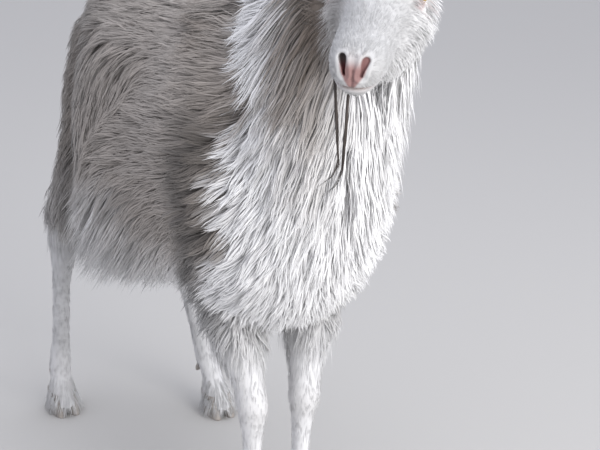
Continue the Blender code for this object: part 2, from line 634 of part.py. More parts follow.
def face_cutters(into):
    """Eye sockets, nostrils and the line of the mouth."""
    place = head_matrix()
    for side in (1, -1):
        ball("socket", place @ Matrix.Translation(on_side(EYE_PLACE, side))
             @ Matrix.Scale(EYE_RADIUS + GAP, 4), into)
        top, foot = on_side(NOSTRIL_TOP, side), on_side(NOSTRIL_FOOT, side)
        slit = (top - foot).normalized()
        wide = ALONG.cross(slit).normalized()
        turn = Matrix((wide, slit.cross(wide), slit)).transposed().to_4x4()
        size = Matrix.Diagonal((NOSTRIL_WIDTH, NOSTRIL_DEPTH, (top - foot).length * 0.55, 1.0))
        ball("nostril", place @ Matrix.Translation((top + foot) / 2) @ turn @ size, into, 8, 6)
    outline = []
    for i in range(MOUTH_POINTS):
        turn = math.pi * (i / (MOUTH_POINTS - 1) - 0.5)
        back = MOUTH_CORNER * (1 - math.cos(turn)) ** 1.3
        half_width = next((a[1] + (b[1] - a[1]) * (back - a[0]) / (b[0] - a[0])
                           for a, b in zip(HEAD, HEAD[1:]) if a[0] <= back <= b[0]), HEAD[0][1])
        rise = MOUTH_RISE * (back / MOUTH_CORNER) ** 1.2
        reach = math.sin(turn) if abs(math.sin(turn)) < 0.5 else math.copysign(1, turn) * min(
            1.0, 0.5 + abs(math.sin(turn)))
        wide = reach * (half_width * MOUTH_WIDTH + HEAD_COAT)
        outline.append(place @ Vector((wide, back - MOUTH_AHEAD, MOUTH_FRONT + rise)))
    rows = [(*point, MOUTH_LINE, MOUTH_LINE) for point in outline]
    loft("mouth", path_rings(rows, 4), into)


def boolean(target, operation, others):
    """Apply one Boolean with every object of a collection, then remove them."""
    step = target.modifiers.new("Boolean", "BOOLEAN")
    step.operation = operation
    step.operand_type = "COLLECTION"
    step.collection = others
    step.solver = "MANIFOLD"
    bpy.context.view_layer.objects.active = target
    bpy.ops.object.modifier_apply(modifier=step.name)
    for other in list(others.objects):
        bpy.data.objects.remove(other)


def bodies_of(target):
    """The closed surfaces of a mesh: volume, middle and set of vertex numbers of each."""
    shape = bmesh.new()
    shape.from_mesh(target.data)
    bmesh.ops.triangulate(shape, faces=shape.faces)
    shape.verts.ensure_lookup_table()
    seen, found = set(), []
    for start in shape.verts:
        if start.index in seen:
            continue
        waiting, group = [start], {start.index}
        while waiting:
            vertex = waiting.pop()
            for edge in vertex.link_edges:
                other = edge.other_vert(vertex)
                if other.index not in group:
                    group.add(other.index)
                    waiting.append(other)
        seen |= group
        volume, moment = 0.0, Vector()
        for face in {face for index in group for face in shape.verts[index].link_faces}:
            a, b, c = (vertex.co for vertex in face.verts)
            share = a.dot(b.cross(c)) / 6
            volume += share
            moment += share * (a + b + c) / 4
        if volume > 0:
            found.append((volume, moment / volume, group))
    shape.free()
    return found


def node_of(middle):
    """Which node a body belongs to, from where its middle is."""
    in_head = head_matrix().inverted() @ middle
    for side in (1, -1):
        root, along = ear_line(side)
        from_root = in_head - root
        if from_root.length < EAR_LENGTH and from_root.dot(along) > EAR_CUT_SHARE * EAR_LENGTH:
            return "ear_left" if side > 0 else "ear_right"
    if (in_head - HEAD_CUT_PLACE).dot(head_cut_normal()) > 0:
        return "head"
    if (middle - NECK_CUT[0]).dot(NECK_CUT[1]) > 0:
        return "neck"
    if middle.y > TAIL_CUT:
        return "tail"
    side = "left" if middle.x > 0 else "right"
    if middle.y < 0 and middle.z < FORELEG_CUT:
        return f"foreleg_{side}"
    if middle.y > 0 and middle.z < HINDLEG_CUT:
        return f"hindleg_{side}"
    return "torso"


def part_into_nodes(whole, into):
    """Keep the largest closed surface of each node as an object of its own."""
    largest = {}
    for volume, middle, group in bodies_of(whole):
        name = node_of(middle)
        if name not in largest or volume > largest[name][0]:
            largest[name] = (volume, group)
    made = {}
    for name, (_, group) in largest.items():
        mesh = whole.data.copy()
        mesh.name = name
        shape = bmesh.new()
        shape.from_mesh(mesh)
        bmesh.ops.delete(shape, geom=[v for v in shape.verts if v.index not in group], context="VERTS")
        shape.to_mesh(mesh)
        shape.free()
        made[name] = bpy.data.objects.new(name, mesh)
        into.objects.link(made[name])
    bpy.data.objects.remove(whole)
    return made


def centre_on_base(into):
    """Move every node so that the middle of the whole one's box is over the origin."""
    corners = [point.co for item in into.objects for point in item.data.vertices]
    middle = Vector(((min(c.x for c in corners) + max(c.x for c in corners)) / 2,
                     (min(c.y for c in corners) + max(c.y for c in corners)) / 2, 0.0))
    for item in into.objects:
        item.data.transform(Matrix.Translation(-middle))


def main():
    """Build the goat."""
    for item in list(bpy.data.objects):
        bpy.data.objects.remove(item)
    goat, pieces, cutters = collection("Saanen goat"), collection("Pieces"), collection("Cutters")
    place = head_matrix()
    draw = random.Random(SEED)

    whole = trunk(goat)
    loft("neck", path_rings(NECK, NECK_SIDES, CORE_SHARE), pieces)
    legs, feet = [], []
    for name, rows in (("fore", FORELEG), ("hind", HINDLEG)):
        for side, sign in (("left", 1), ("right", -1)):
            own = leg_rows(rows, sign)
            legs.append(own)
            loft(f"{name}leg_{side}", level_rings(own, LEG_SIDES), pieces)
            feet.append((f"{name}hoof_{side}", own[-1]))
    core = surface_of([whole, *pieces.objects])
    flank_locks(core, draw, pieces)
    end_locks(core, draw, CHEST_LINE, CHEST_LEVELS, CHEST_ANGLES, CHEST_FALL, pieces)
    end_locks(core, draw, RUMP_LINE, RUMP_LEVELS, RUMP_ANGLES, RUMP_FALL, pieces)
    spine_locks(core, draw, pieces)
    neck_locks(core, draw, pieces)

    tail = loft("tail", path_rings(TAIL, TAIL_SIDES), pieces)
    tail_locks(surface_of([tail]), draw, pieces)
    before = set(pieces.objects)
    skull(pieces)
    face = surface_of([item for item in pieces.objects if item not in before])
    beard(pieces)
    cheek_locks(face, draw, pieces)
    for own in legs:
        dewclaws(own, pieces)
    for side in (1, -1):
        ear(side, pieces)
    boolean(whole, "UNION", pieces)
    parting_sheets(cutters)
    face_cutters(cutters)
    boolean(whole, "DIFFERENCE", cutters)

    white, grey = material("White coat", WHITE, 0.85), material("Grey coat", GREY, 0.85)
    horn, iris = material("Hoof horn", HORN_BROWN, 0.45), material("Eye", EYE_AMBER, 0.15)
    for name, node in part_into_nodes(whole, goat).items():
        node.data.materials.clear()
        node.data.materials.append(grey if name in ("torso", "tail") else white)
    for side, sign in (("left", 1), ("right", -1)):
        eye = ball(f"eye_{side}", place @ Matrix.Translation(on_side(EYE_PLACE, sign))
                   @ Matrix.Scale(EYE_RADIUS, 4), goat)
        eye.data.materials.append(iris)
    for name, (x, y, _, _, _) in feet:
        for side, sign in (("outer", 1), ("inner", -1)):
            claw = hoof_claw(f"{name}_{side}", Vector((x, y - CLAW_FORWARD, 0.0)),
                             sign * math.copysign(1, x), goat)
            claw.data.materials.append(horn)
    centre_on_base(goat)


main()
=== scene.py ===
"""Looks of a standing saanen goat: one skin under a coat of combed tufts, eyes, hooves and a plain studio.

Metres, +Z up, the goat faces -Y and its left side is +X. Rows and places are those of the solids' own frame,
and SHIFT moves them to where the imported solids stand.
"""

import math

import bmesh
import bpy
import numpy as np
from bpy.props import FloatProperty, FloatVectorProperty, IntProperty, PointerProperty
from mathutils import Matrix, Vector
from mathutils.bvhtree import BVHTree
from mathutils.kdtree import KDTree


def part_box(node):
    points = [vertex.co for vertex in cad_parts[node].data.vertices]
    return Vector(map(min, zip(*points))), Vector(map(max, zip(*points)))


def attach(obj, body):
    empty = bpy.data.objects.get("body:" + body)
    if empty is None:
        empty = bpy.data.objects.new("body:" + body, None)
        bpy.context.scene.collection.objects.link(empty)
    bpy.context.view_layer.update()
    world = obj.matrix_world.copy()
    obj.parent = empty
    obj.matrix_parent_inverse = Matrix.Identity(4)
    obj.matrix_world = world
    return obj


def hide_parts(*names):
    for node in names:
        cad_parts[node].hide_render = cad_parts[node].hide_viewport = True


bl_info = {
    "name": "Saanen goat",
    "version": (1, 0, 0),
    "blender": (4, 5, 0),
    "location": "View3D > Sidebar > Goat",
    "description": "Builds the goat's skin, coat, eyes, hooves and studio round the packed solids",
    "category": "Object",
}

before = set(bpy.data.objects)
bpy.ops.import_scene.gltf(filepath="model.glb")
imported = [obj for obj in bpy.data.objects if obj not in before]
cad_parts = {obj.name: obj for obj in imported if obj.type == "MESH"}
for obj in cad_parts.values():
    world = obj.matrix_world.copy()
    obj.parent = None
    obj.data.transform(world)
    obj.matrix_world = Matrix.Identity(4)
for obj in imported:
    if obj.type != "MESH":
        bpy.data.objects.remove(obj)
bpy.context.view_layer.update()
BODY = "root"

# Trunk: place along the body, half width, top, bottom, how much wider below than above
TRUNK = [
    (-0.354, 0.026, 0.590, 0.490, 0.00),
    (-0.343, 0.056, 0.630, 0.450, 0.00),
    (-0.322, 0.084, 0.665, 0.415, 0.00),
    (-0.280, 0.120, 0.705, 0.385, -0.05),
    (-0.210, 0.130, 0.732, 0.374, 0.00),
    (-0.120, 0.132, 0.730, 0.368, 0.10),
    (-0.020, 0.138, 0.722, 0.366, 0.15),
    (0.080, 0.136, 0.722, 0.372, 0.15),
    (0.165, 0.110, 0.728, 0.385, 0.10),
    (0.230, 0.082, 0.728, 0.425, 0.00),
    (0.285, 0.064, 0.708, 0.480, 0.00),
    (0.325, 0.052, 0.684, 0.525, 0.00),
    (0.346, 0.038, 0.660, 0.565, 0.00),
    (0.356, 0.020, 0.640, 0.600, 0.00),
]
# Neck and tail: centre of each section, half width, half depth
NECK = [
    (0.000, -0.225, 0.560, 0.098, 0.160),
    (0.003, -0.285, 0.635, 0.082, 0.122),
    (0.010, -0.332, 0.705, 0.066, 0.094),
    (0.020, -0.380, 0.762, 0.056, 0.072),
    (0.030, -0.420, 0.800, 0.045, 0.056),
    (0.021, -0.452, 0.800, 0.036, 0.048),
]
TAIL = [
    (0.000, 0.315, 0.650, 0.020, 0.015),
    (0.000, 0.358, 0.660, 0.015, 0.011),
    (0.000, 0.396, 0.652, 0.011, 0.009),
    (0.000, 0.418, 0.622, 0.009, 0.008),
    (0.000, 0.426, 0.592, 0.006, 0.005),
]
# Head, in its own frame: place behind the nose, half width, top, bottom, how much wider below than above
HEAD = [
    (-0.007, 0.0110, 0.009, -0.013, -0.20),
    (-0.002, 0.0190, 0.015, -0.023, -0.26),
    (0.009, 0.0240, 0.021, -0.033, -0.26),
    (0.028, 0.0262, 0.026, -0.036, -0.18),
    (0.055, 0.0268, 0.033, -0.035, -0.12),
    (0.085, 0.0310, 0.042, -0.041, -0.10),
    (0.110, 0.0385, 0.053, -0.050, -0.12),
    (0.132, 0.0445, 0.063, -0.058, -0.10),
    (0.158, 0.0470, 0.069, -0.062, 0.00),
    (0.182, 0.0430, 0.067, -0.054, 0.00),
    (0.204, 0.0340, 0.056, -0.034, 0.00),
    (0.218, 0.0180, 0.038, -0.008, 0.00),
]
# Head: where the nose is, its turns, and the cut from the neck
NOSE = Vector((-0.084, -0.578, 0.748))
HEAD_TURN, HEAD_NOD, HEAD_LEAN = math.radians(38.6), math.radians(8.0), math.radians(6.0)
HEAD_CUT_PLACE, HEAD_CUT_LEAN = (0.0, 0.184, 0.0), math.radians(26.0)
# Eyes, the bone round them and the rims of the lids
EYE_PLACE, EYE_RADIUS = Vector((0.0335, 0.128, 0.032)), 0.0125
EYE_HOLLOW, CORNEA_FROM, CORNEA_BULGE, PUPIL_HALF = 0.80, 0.80, 0.0008, (0.0050, 0.0018)
ORBIT_PLACE, ORBIT_SIZE = Vector((0.0285, 0.131, 0.031)), Vector((0.0150, 0.0250, 0.0210))
LID_LENGTH, LID_HEIGHT, LID_THICKNESS, LID_OUT, LOWER_LID = 0.0145, 0.0098, 0.0020, 0.0082, 0.52
# Nostrils: both ends of each slit, depth on each side, rims, gap kept free of hair; then the mouth's line
NOSTRIL_TOP, NOSTRIL_FOOT = (0.0108, 0.0, 0.007), (0.0080, 0.0, -0.007)
NOSTRIL_FLAT = np.array((1.0, 0.0, 1.0))
NOSTRIL_DEPTH, NOSTRIL_RIM, NOSTRIL_CLEAR = {1: 0.0030, -1: 0.0070}, 0.0013, 0.0052
MOUTH_FRONT, MOUTH_RISE, MOUTH_CORNER, MOUTH_DEPTH, LIP_SWELL = -0.0215, 0.010, 0.052, 0.0032, 0.0012
# Fixed colours of small places, partly painted shade, and how much the short hair of face and legs is
# darkened with painted shade against the long
# Nostrils: red inside, with painted shade high in the right one
NOSTRIL_RED, NOSTRIL_SHADE = np.array((0.12, 0.022, 0.024)), np.array((0.060, 0.044, 0.042))
# Painted shade along the line of the closed mouth
MOUTH_SHADE = np.array((0.20, 0.15, 0.13))
FACE_SHADE, FORE_SHADE, HIND_SHADE = 0.48, 0.22, 0.44
# Ears: root in the head's frame, length, width, wall, depth of the cup, and how they point
EAR_ROOT = Vector((0.033, 0.168, 0.054))
EAR_LENGTH, EAR_WIDTH, EAR_WALL, EAR_CUP = 0.116, 0.046, 0.0028, 0.016
EAR_OUT, EAR_UP, EAR_FORWARD = 0.80, 0.52, 0.25
# Share of the length, share of the width, share of the cup's depth
EAR_STATIONS = ((-0.08, 0.30, 0.55), (0.06, 0.44, 0.80), (0.25, 0.86, 1.0), (0.50, 1.0, 0.85),
                (0.75, 0.74, 0.50), (0.92, 0.34, 0.20), (1.0, 0.10, 0.05))
# Legs: centre of each section, half width, half length fore and aft, for the left side
FORELEG = [
    (0.070, -0.195, 0.520, 0.044, 0.073),
    (0.068, -0.205, 0.440, 0.040, 0.058),
    (0.058, -0.216, 0.385, 0.032, 0.042),
    (0.048, -0.226, 0.330, 0.0255, 0.0305),
    (0.039, -0.234, 0.282, 0.0192, 0.0222),
    (0.036, -0.238, 0.252, 0.0198, 0.0228),
    (0.035, -0.236, 0.226, 0.0152, 0.0177),
    (0.034, -0.232, 0.190, 0.0113, 0.0138),
    (0.034, -0.230, 0.130, 0.0110, 0.0133),
    (0.034, -0.232, 0.098, 0.0138, 0.0163),
    (0.034, -0.235, 0.080, 0.0152, 0.0182),
    (0.034, -0.245, 0.055, 0.0145, 0.0160),
    (0.034, -0.252, 0.031, 0.0190, 0.0215),
]
HINDLEG = [
    (0.044, 0.250, 0.640, 0.030, 0.068),
    (0.053, 0.244, 0.570, 0.036, 0.080),
    (0.060, 0.240, 0.500, 0.036, 0.076),
    (0.071, 0.250, 0.440, 0.034, 0.058),
    (0.076, 0.282, 0.385, 0.0340, 0.0460),
    (0.080, 0.321, 0.335, 0.0280, 0.0350),
    (0.085, 0.342, 0.298, 0.0222, 0.0300),
    (0.090, 0.338, 0.262, 0.0180, 0.0225),
    (0.097, 0.330, 0.215, 0.0138, 0.0163),
    (0.104, 0.316, 0.140, 0.0133, 0.0153),
    (0.108, 0.311, 0.100, 0.0158, 0.0183),
    (0.110, 0.308, 0.080, 0.0172, 0.0197),
    (0.112, 0.298, 0.055, 0.0160, 0.0175),
    (0.112, 0.292, 0.031, 0.0205, 0.0225),
]
# Steps of the hind feet along the body, how they grow down the leg, and the sideways bow of the hocks
HIND_STEP = {"left": -0.058, "right": 0.062}
STEP_POWER, HOCK_SWAY = 2.8, -0.008
# Dewclaws and claws
DEWCLAW_HEIGHT, DEWCLAW_RADIUS, DEWCLAW_SPREAD = 0.070, 0.0052, 0.009
DEWCLAW_TIP = Vector((0.001, 0.011, -0.014))
# Dewclaw: share of the way to its tip, share of the full width and depth
DEWCLAW_LEVELS = ((0.0, 1.0, 1.0), (0.4, 1.0, 0.9), (0.75, 0.75, 0.65), (1.0, 0.3, 0.25))
CLAW_LENGTH, CLAW_WIDTH, CLAW_HEIGHT = 0.056, 0.0205, 0.034
CLAW_GAP, CLAW_SLOPE, CLAW_FORWARD, TOE_NARROW = 0.003, 0.014, 0.008, 0.22
# Claw: height, share of the full size, how far back
CLAW_LEVELS = ((0.0, 0.955, 0.0), (0.0012, 0.985, 0.0004), (0.004, 1.0, 0.0015), (0.012, 0.965, 0.0045),
               (0.022, 0.90, 0.0085), (0.029, 0.85, 0.012), (CLAW_HEIGHT, 0.80, CLAW_SLOPE))
# The skin's rim over the hoof: how far forward, height, half width and half length
CUFF_FORWARD, CUFF_HEIGHT, CUFF_WIDTH, CUFF_LENGTH = 0.0045, 0.014, 0.0250, 0.0300

ACROSS, ALONG, UP = Vector((1.0, 0.0, 0.0)), Vector((0.0, 1.0, 0.0)), Vector((0.0, 0.0, 1.0))
DOWN = np.array((0.0, 0.0, -1.0))
# Grain of the skin's remesh, and the nodes that the skin replaces
VOXEL = 0.0050
FLESH = ("head", "neck", "torso", "tail", "ear_left", "ear_right",
         "foreleg_left", "foreleg_right", "hindleg_left", "hindleg_right")
TONE = "coat_tone"

# Camera: place in the solids' own frame, turn from the front, tilt down; focal length in pixels of its frame
CAMERA_PLACE = Vector((-0.654, -1.622, 1.000))
CAMERA_TURN, CAMERA_TILT = math.radians(-26.3), math.radians(18.7)
FRAME_WIDTH, FOCAL_PIXELS, SENSOR = 600, 1350, 36.0


def head_matrix():
    """The head's own frame in the goat's."""
    return (Matrix.Translation(NOSE) @ Matrix.Rotation(-HEAD_TURN, 4, "Z")
            @ Matrix.Rotation(HEAD_NOD, 4, "X") @ Matrix.Rotation(HEAD_LEAN, 4, "Y"))


def solids_shift():
    """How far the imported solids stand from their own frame, read from the left eye."""
    low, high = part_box("eye_left")
    return (low + high) / 2 - head_matrix() @ EYE_PLACE


def sided(place, side):
    """A place of the left half, or its mirror image where the side is -1."""
    return Vector((place.x * side, place.y, place.z))


SHIFT = solids_shift()
HEAD_PLACE = Matrix.Translation(SHIFT) @ head_matrix()


# Lofts

def ring(centre, across, up, half_width, half_height, sides, egg=0.0):
    """An oval section, wider below its middle than above by the share egg."""
    return [centre + across * (math.cos(turn) * half_width * (1.0 - egg * math.sin(turn)))
            + up * (math.sin(turn) * half_height)
            for turn in (math.tau * i / sides for i in range(sides))]


def finer(rows, steps):
    """Rows with steps times as many, on a smooth curve through the given ones."""
    made = []
    last = len(rows) - 1
    for i in range(last):
        four = rows[max(i - 1, 0)], rows[i], rows[i + 1], rows[min(i + 2, last)]
        for t in (k / steps for k in range(steps)):
            made.append(tuple(
                0.5 * (2 * b + (c - a) * t + (2 * a - 5 * b + 4 * c - d) * t * t
                       + (3 * b - a - 3 * c + d) * t * t * t)
                for a, b, c, d in zip(*four)))
    made.append(tuple(rows[-1]))
    return made


def path_frames(rows):
    """Centre, direction, across and up of each section square to the path through the rows' centres."""
    centres = [Vector(row[:3]) for row in rows]
    frames = []
    for i, centre in enumerate(centres):
        along = (centres[min(i + 1, len(rows) - 1)] - centres[max(i - 1, 0)]).normalized()
        across = (ACROSS - along * along.x).normalized()
        frames.append((centre, along, across, along.cross(across)))
    return frames


def path_rings(rows, sides):
    """Oval sections square to a path: rows of x, y, z, half width, half depth."""
    return [ring(centre + SHIFT, across, up, row[3], row[4], sides)
            for row, (centre, _, across, up) in zip(rows, path_frames(rows))]


def level_rings(rows, sides):
    """Level oval sections: rows of x, y, z, half width, half length."""
    return [ring(Vector(row[:3]) + SHIFT, ACROSS, ALONG, row[3], row[4], sides) for row in rows]


def upright_rings(rows, sides):
    """Oval sections square to the way back: rows of place, half width, top, bottom and egg."""
    return [ring(Vector((0.0, along, (top + bottom) / 2)), ACROSS, UP, half_width, (top - bottom) / 2,
                 sides, egg) for along, half_width, top, bottom, egg in rows]


def leg_rows(rows, side):
    """The rows of one leg, mirrored for the right, with a hind foot moved along by its step."""
    step = HIND_STEP["left" if side > 0 else "right"] if rows is HINDLEG else 0.0
    sway = HOCK_SWAY if rows is HINDLEG else 0.0
    top, foot = rows[0][2], rows[-1][2]
    made = []
    for x, y, z, half_width, half_length in rows:
        share = (top - z) / (top - foot)
        made.append((x * side + 4 * sway * share * (1 - share), y + step * share ** STEP_POWER, z,
                     half_width, half_length))
    return made


LEGS = [leg_rows(rows, side) for rows in (FORELEG, HINDLEG) for side in (1, -1)]


def cuff_row(foot):
    """The skin's lowest section, over the top of the hoof."""
    return (foot[0], foot[1] - CUFF_FORWARD, CUFF_HEIGHT, CUFF_WIDTH, CUFF_LENGTH)


def deselect():
    """Nothing selected, in object mode."""
    if bpy.context.object and bpy.context.object.mode != "OBJECT":
        bpy.ops.object.mode_set(mode="OBJECT")
    bpy.ops.object.select_all(action="DESELECT")


def place_section(piece, old, new):
    """Move the selected ring of an extrusion from the old section's points to the new ones."""
    shape = bmesh.from_edit_mesh(piece.data)
    for vertex in shape.verts:
        if vertex.select:
            nearest = min(range(len(old)), key=lambda i: (old[i] - vertex.co).length_squared)
            vertex.co = new[nearest]
    bmesh.update_edit_mesh(piece.data)


def settle(piece):
    """Put edges and faces in the order of their points: mesh tools leave another order on each run."""
    shape = bmesh.new()
    shape.from_mesh(piece.data)
    for items in (shape.edges, shape.faces):
        in_order = sorted(items, key=lambda item: sorted(vertex.index for vertex in item.verts))
        for rank, item in enumerate(in_order):
            item.index = rank
        items.sort()
    shape.to_mesh(piece.data)
    shape.free()


def loft(name, rings):
    """A closed body drawn out from a filled circle, section by section."""
    deselect()
    sides = len(rings[0])
    bpy.ops.mesh.primitive_circle_add(vertices=sides, radius=1.0, fill_type="NGON")
    piece = bpy.context.object
    piece.name = piece.data.name = name
    for vertex, point in zip(piece.data.vertices, rings[0]):
        vertex.co = point
    piece.matrix_world = Matrix.Identity(4)
    bpy.ops.object.mode_set(mode="EDIT")
    bpy.ops.mesh.select_all(action="SELECT")
    for old, new in zip(rings, rings[1:]):
        bpy.ops.mesh.extrude_region_move(TRANSFORM_OT_translate={"value": (0.0, 0.0, 0.0)})
        place_section(piece, old, new)
    bpy.ops.mesh.select_all(action="SELECT")
    bpy.ops.mesh.normals_make_consistent(inside=False)
    bpy.ops.object.mode_set(mode="OBJECT")
    settle(piece)
    return piece


def apply_modifier(piece, kind, **values):
    """Add one modifier, set its values and apply it."""
    deselect()
    piece.select_set(True)
    bpy.context.view_layer.objects.active = piece
    step = piece.modifiers.new(kind.title(), kind)
    for key, value in values.items():
        setattr(step, key, value)
    bpy.ops.object.modifier_apply(modifier=step.name)


def join(pieces):
    """Join pieces into the first one."""
    deselect()
    for piece in pieces:
        piece.select_set(True)
    bpy.context.view_layer.objects.active = pieces[0]
    bpy.ops.object.join()
    return pieces[0]


def dress(piece, material):
    """Give a finished piece its material, smooth faces, slot and body."""
    piece.data.materials.clear()
    piece.data.materials.append(material)
    piece.data.shade_smooth()
    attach(piece, BODY)


# Arrays

def read(rows, key, kind=np.float32):
    """Three values of every row of a mesh as an array."""
    values = np.empty(len(rows) * 3, kind)
    rows.foreach_get(key, values)
    return values.reshape(-1, 3)


def points_of(mesh):
    """A mesh's points as an array."""
    return read(mesh.vertices, "co").astype(float)


def normals_of(mesh):
    """The facing of a mesh's points as an array."""
    return read(mesh.vertex_normals, "vector").astype(float)


def unit(vectors):
    """Vectors made one long."""
    return vectors / np.maximum(np.linalg.norm(vectors, axis=-1, keepdims=True), 1e-9)


def dot(a, b):
    """Row by row product, kept as a column."""
    return (a * b).sum(-1, keepdims=True)


def ease(value, low, high):
    """0 below low, 1 above high, smooth between."""
    t = np.clip((value - low) / (high - low), 0.0, 1.0)
    return t * t * (3 - 2 * t)


def hump(value, middle, width):
    """1 at the middle, falling off smoothly within about the width."""
    return np.exp(-((value - middle) / width) ** 2)


def column(values):
    """A row of numbers as a column."""
    return np.asarray(values)[:, None]


def mix(base, value, share):
    """The base where the share is 0, the value where it is 1."""
    return base * (1 - share) + value * share


def ways(*parts):
    """Directions from their three parts, each one number or one for every point."""
    return np.stack(np.broadcast_arrays(*parts), axis=1)


def sizes(base, *rows):
    """Length and depth of hair: a base, and rows of a share and what it adds to both."""
    return base + sum(column(share) * np.array(added) for share, *added in rows)


def in_head(points):
    """Points of the world in the head's own frame."""
    inverse = np.array(HEAD_PLACE.inverted())
    return points @ inverse[:3, :3].T + inverse[:3, 3]


HEAD_AXES = np.array(HEAD_PLACE.to_3x3())


def segment_distance(points, start, end):
    """Distance of points from a straight line between two places."""
    start, way = np.asarray(start), np.asarray(end) - np.asarray(start)
    share = np.clip(((points - start) @ way) / (way @ way), 0, 1)
    return np.linalg.norm(points - start - share[:, None] * way, axis=1)


def nostril_distance(place):
    """Distance of the head's points from the left nostril's slit, seen from in front."""
    return segment_distance(place * NOSTRIL_FLAT, NOSTRIL_TOP, NOSTRIL_FOOT)


def mouth_line(local):
    """Height of the mouth's line at the head's points."""
    return MOUTH_FRONT + MOUTH_RISE * np.clip(local[:, 1] / MOUTH_CORNER, 0, 1)


def folded(local):
    """The head's points with its right half laid on the left."""
    return np.stack([np.abs(local[:, 0]), local[:, 1], local[:, 2]], 1)


# How steeply the flank's hair falls, by height
FLANK_FALL = ((0.40, 0.46, 0.54, 0.62, 0.72), (1.15, 0.85, 0.30, 0.04, 0.02))
# Between these places the hair of neck and chest turns from hanging to swept back
SWEEP_FROM = (-0.385, -0.295)
# Rear flank: where its hair turns down, at what height and slope, and which way it lies there
CREASE_PLACE, CREASE_HEIGHT, CREASE_SLOPE = -0.06, 0.61, 1.18
WHORL_WAY, WHORL_SHARE = np.array((0.0, -0.45, -0.70)), 0.85
# Fold before the thigh, under longer hair: place along the body and height
FOLD_PLACE = (0.170, 0.430)
# Lowest height of the tips of long hair, by place along the body
HEM_PLACES, HEM_HEIGHTS = (-0.25, -0.15, -0.08, 0.00, 0.10, 0.20), (0.436, 0.412, 0.372, 0.334, 0.305, 0.290)
# Edge between the white of neck and chest and the grey flank, by height
EDGE_HEIGHTS = (0.43, 0.49, 0.55, 0.60, 0.63, 0.66, 0.70, 0.73)
EDGE_PLACES = (-0.268, -0.306, -0.320, -0.316, -0.322, -0.352, -0.360, -0.295)
# Length and depth of the coat of each part, before what its places add
TRUNK_COAT, NECK_COAT, HEAD_COAT = (0.060, 0.016), (0.112, 0.038), (0.0085, 0.0012)
LEG_COAT, TAIL_COAT, EAR_COAT = (0.012, 0.0016), np.array((0.060, 0.008)), (0.013, 0.0008)

NECK_PATH = finer(NECK, 8)
NECK_POINTS = np.array([row[:3] for row in NECK_PATH]) + np.array(SHIFT)
NECK_WAYS = np.array([along for _, along, _, _ in path_frames(NECK_PATH)])


def neck_place(points):
    """How far up the neck each point is, from 0 to 1, and the neck's way there."""
    distance = np.linalg.norm(points[:, None, :] - NECK_POINTS[None], axis=2)
    nearest = distance.argmin(axis=1)
    return nearest / (len(NECK_POINTS) - 1), NECK_WAYS[nearest]


def leg_distance(points):
    """Distance from the nearest leg's middle line at each point's height, in half lengths of the leg."""
    found = np.full(len(points), 9.0)
    for rows in LEGS:
        table = np.array(sorted(rows, key=lambda row: row[2])).T
        x, y, half = (np.interp(points[:, 2], table[2], table[i]) for i in (0, 1, 4))
        away = np.hypot(points[:, 0] - (x + SHIFT.x), points[:, 1] - (y + SHIFT.y))
        found = np.minimum(found, away / half)
    return found


def past_edge(own):
    """How far behind the ragged edge between white neck and grey flank each point is."""
    ragged = 0.007 * np.sin(own[:, 2] * 61 + 2.0) + 0.005 * np.sin(own[:, 2] * 137 + own[:, 0] * 60)
    return own[:, 1] + ragged - np.interp(own[:, 2], EDGE_HEIGHTS, EDGE_PLACES)


def cheek_of(local):
    """Share of the fluffy hair at the back of the cheeks, in the head's frame."""
    side, back, up = np.abs(local[:, 0]), local[:, 1], local[:, 2]
    share = ease(side, 0.026, 0.042) * ease(back, 0.085, 0.125) * (1 - ease(back, 0.145, 0.168))
    return share * ease(up, -0.025, 0.012) * (1 - ease(up, 0.03, 0.05))


def jaw_of(local):
    """Share of the longer hair under the jaw, in the head's frame."""
    return ease(local[:, 1], 0.045, 0.11) * ease(-local[:, 2], -0.010, 0.025)


def hem_of(points):
    """The lowest height that the tip of a long hair may have at each point."""
    return np.interp(points[:, 1] - SHIFT.y, HEM_PLACES, HEM_HEIGHTS)


def fringe_of(own):
    """Share of the long fringe under the rear of the belly."""
    along = ease(own[:, 1], -0.14, -0.04) * (1 - ease(own[:, 1], 0.20, 0.26))
    return along * (1 - ease(own[:, 2], 0.45, 0.53))


def elbow_of(own):
    """Share of the shorter hair behind the elbow."""
    return hump(own[:, 1], -0.235, 0.055) * (1 - ease(own[:, 2], 0.46, 0.52))


def parts_of(points):
    """Shares of head, neck, leg, tail and ear at each point; what is left is trunk."""
    own = points - np.array(SHIFT)
    local = in_head(points)
    normal = np.array((0.0, -math.cos(HEAD_CUT_LEAN), math.sin(HEAD_CUT_LEAN)))
    beyond = (local - np.array(HEAD_CUT_PLACE)) @ normal
    near_head = np.linalg.norm(local - np.array((0, 0.10, 0)), axis=1) < 0.20
    head = ease(beyond, -0.012, 0.012) * near_head
    up_neck, neck_way = neck_place(points)
    neck = ease(up_neck, 0.10, 0.34) * (1 - head) * (own[:, 1] < -0.15)
    leg = (1 - ease(own[:, 2], 0.325, 0.385)) * (leg_distance(points) < 1.6)
    tail = ease(own[:, 1], 0.335, 0.36) * (np.abs(own[:, 0]) < 0.035) * ease(own[:, 2], 0.55, 0.57)
    reach = np.abs(local[:, 0]) - 0.043
    ear = ease(reach, 0.0, 0.010) * (local[:, 1] > 0.10) * ease(local[:, 2], 0.045, 0.060) * near_head
    return {"head": head, "neck": neck, "leg": leg, "tail": tail, "ear": ear * head, "own": own,
            "local": local, "up_neck": up_neck, "neck_way": neck_way}


def sweep_of(own, normals):
    """Share of the hair of neck and chest that is swept back, on their sides."""
    return ease(own[:, 1], *SWEEP_FROM) * ease(np.abs(normals[:, 0]), 0.2, 0.6)


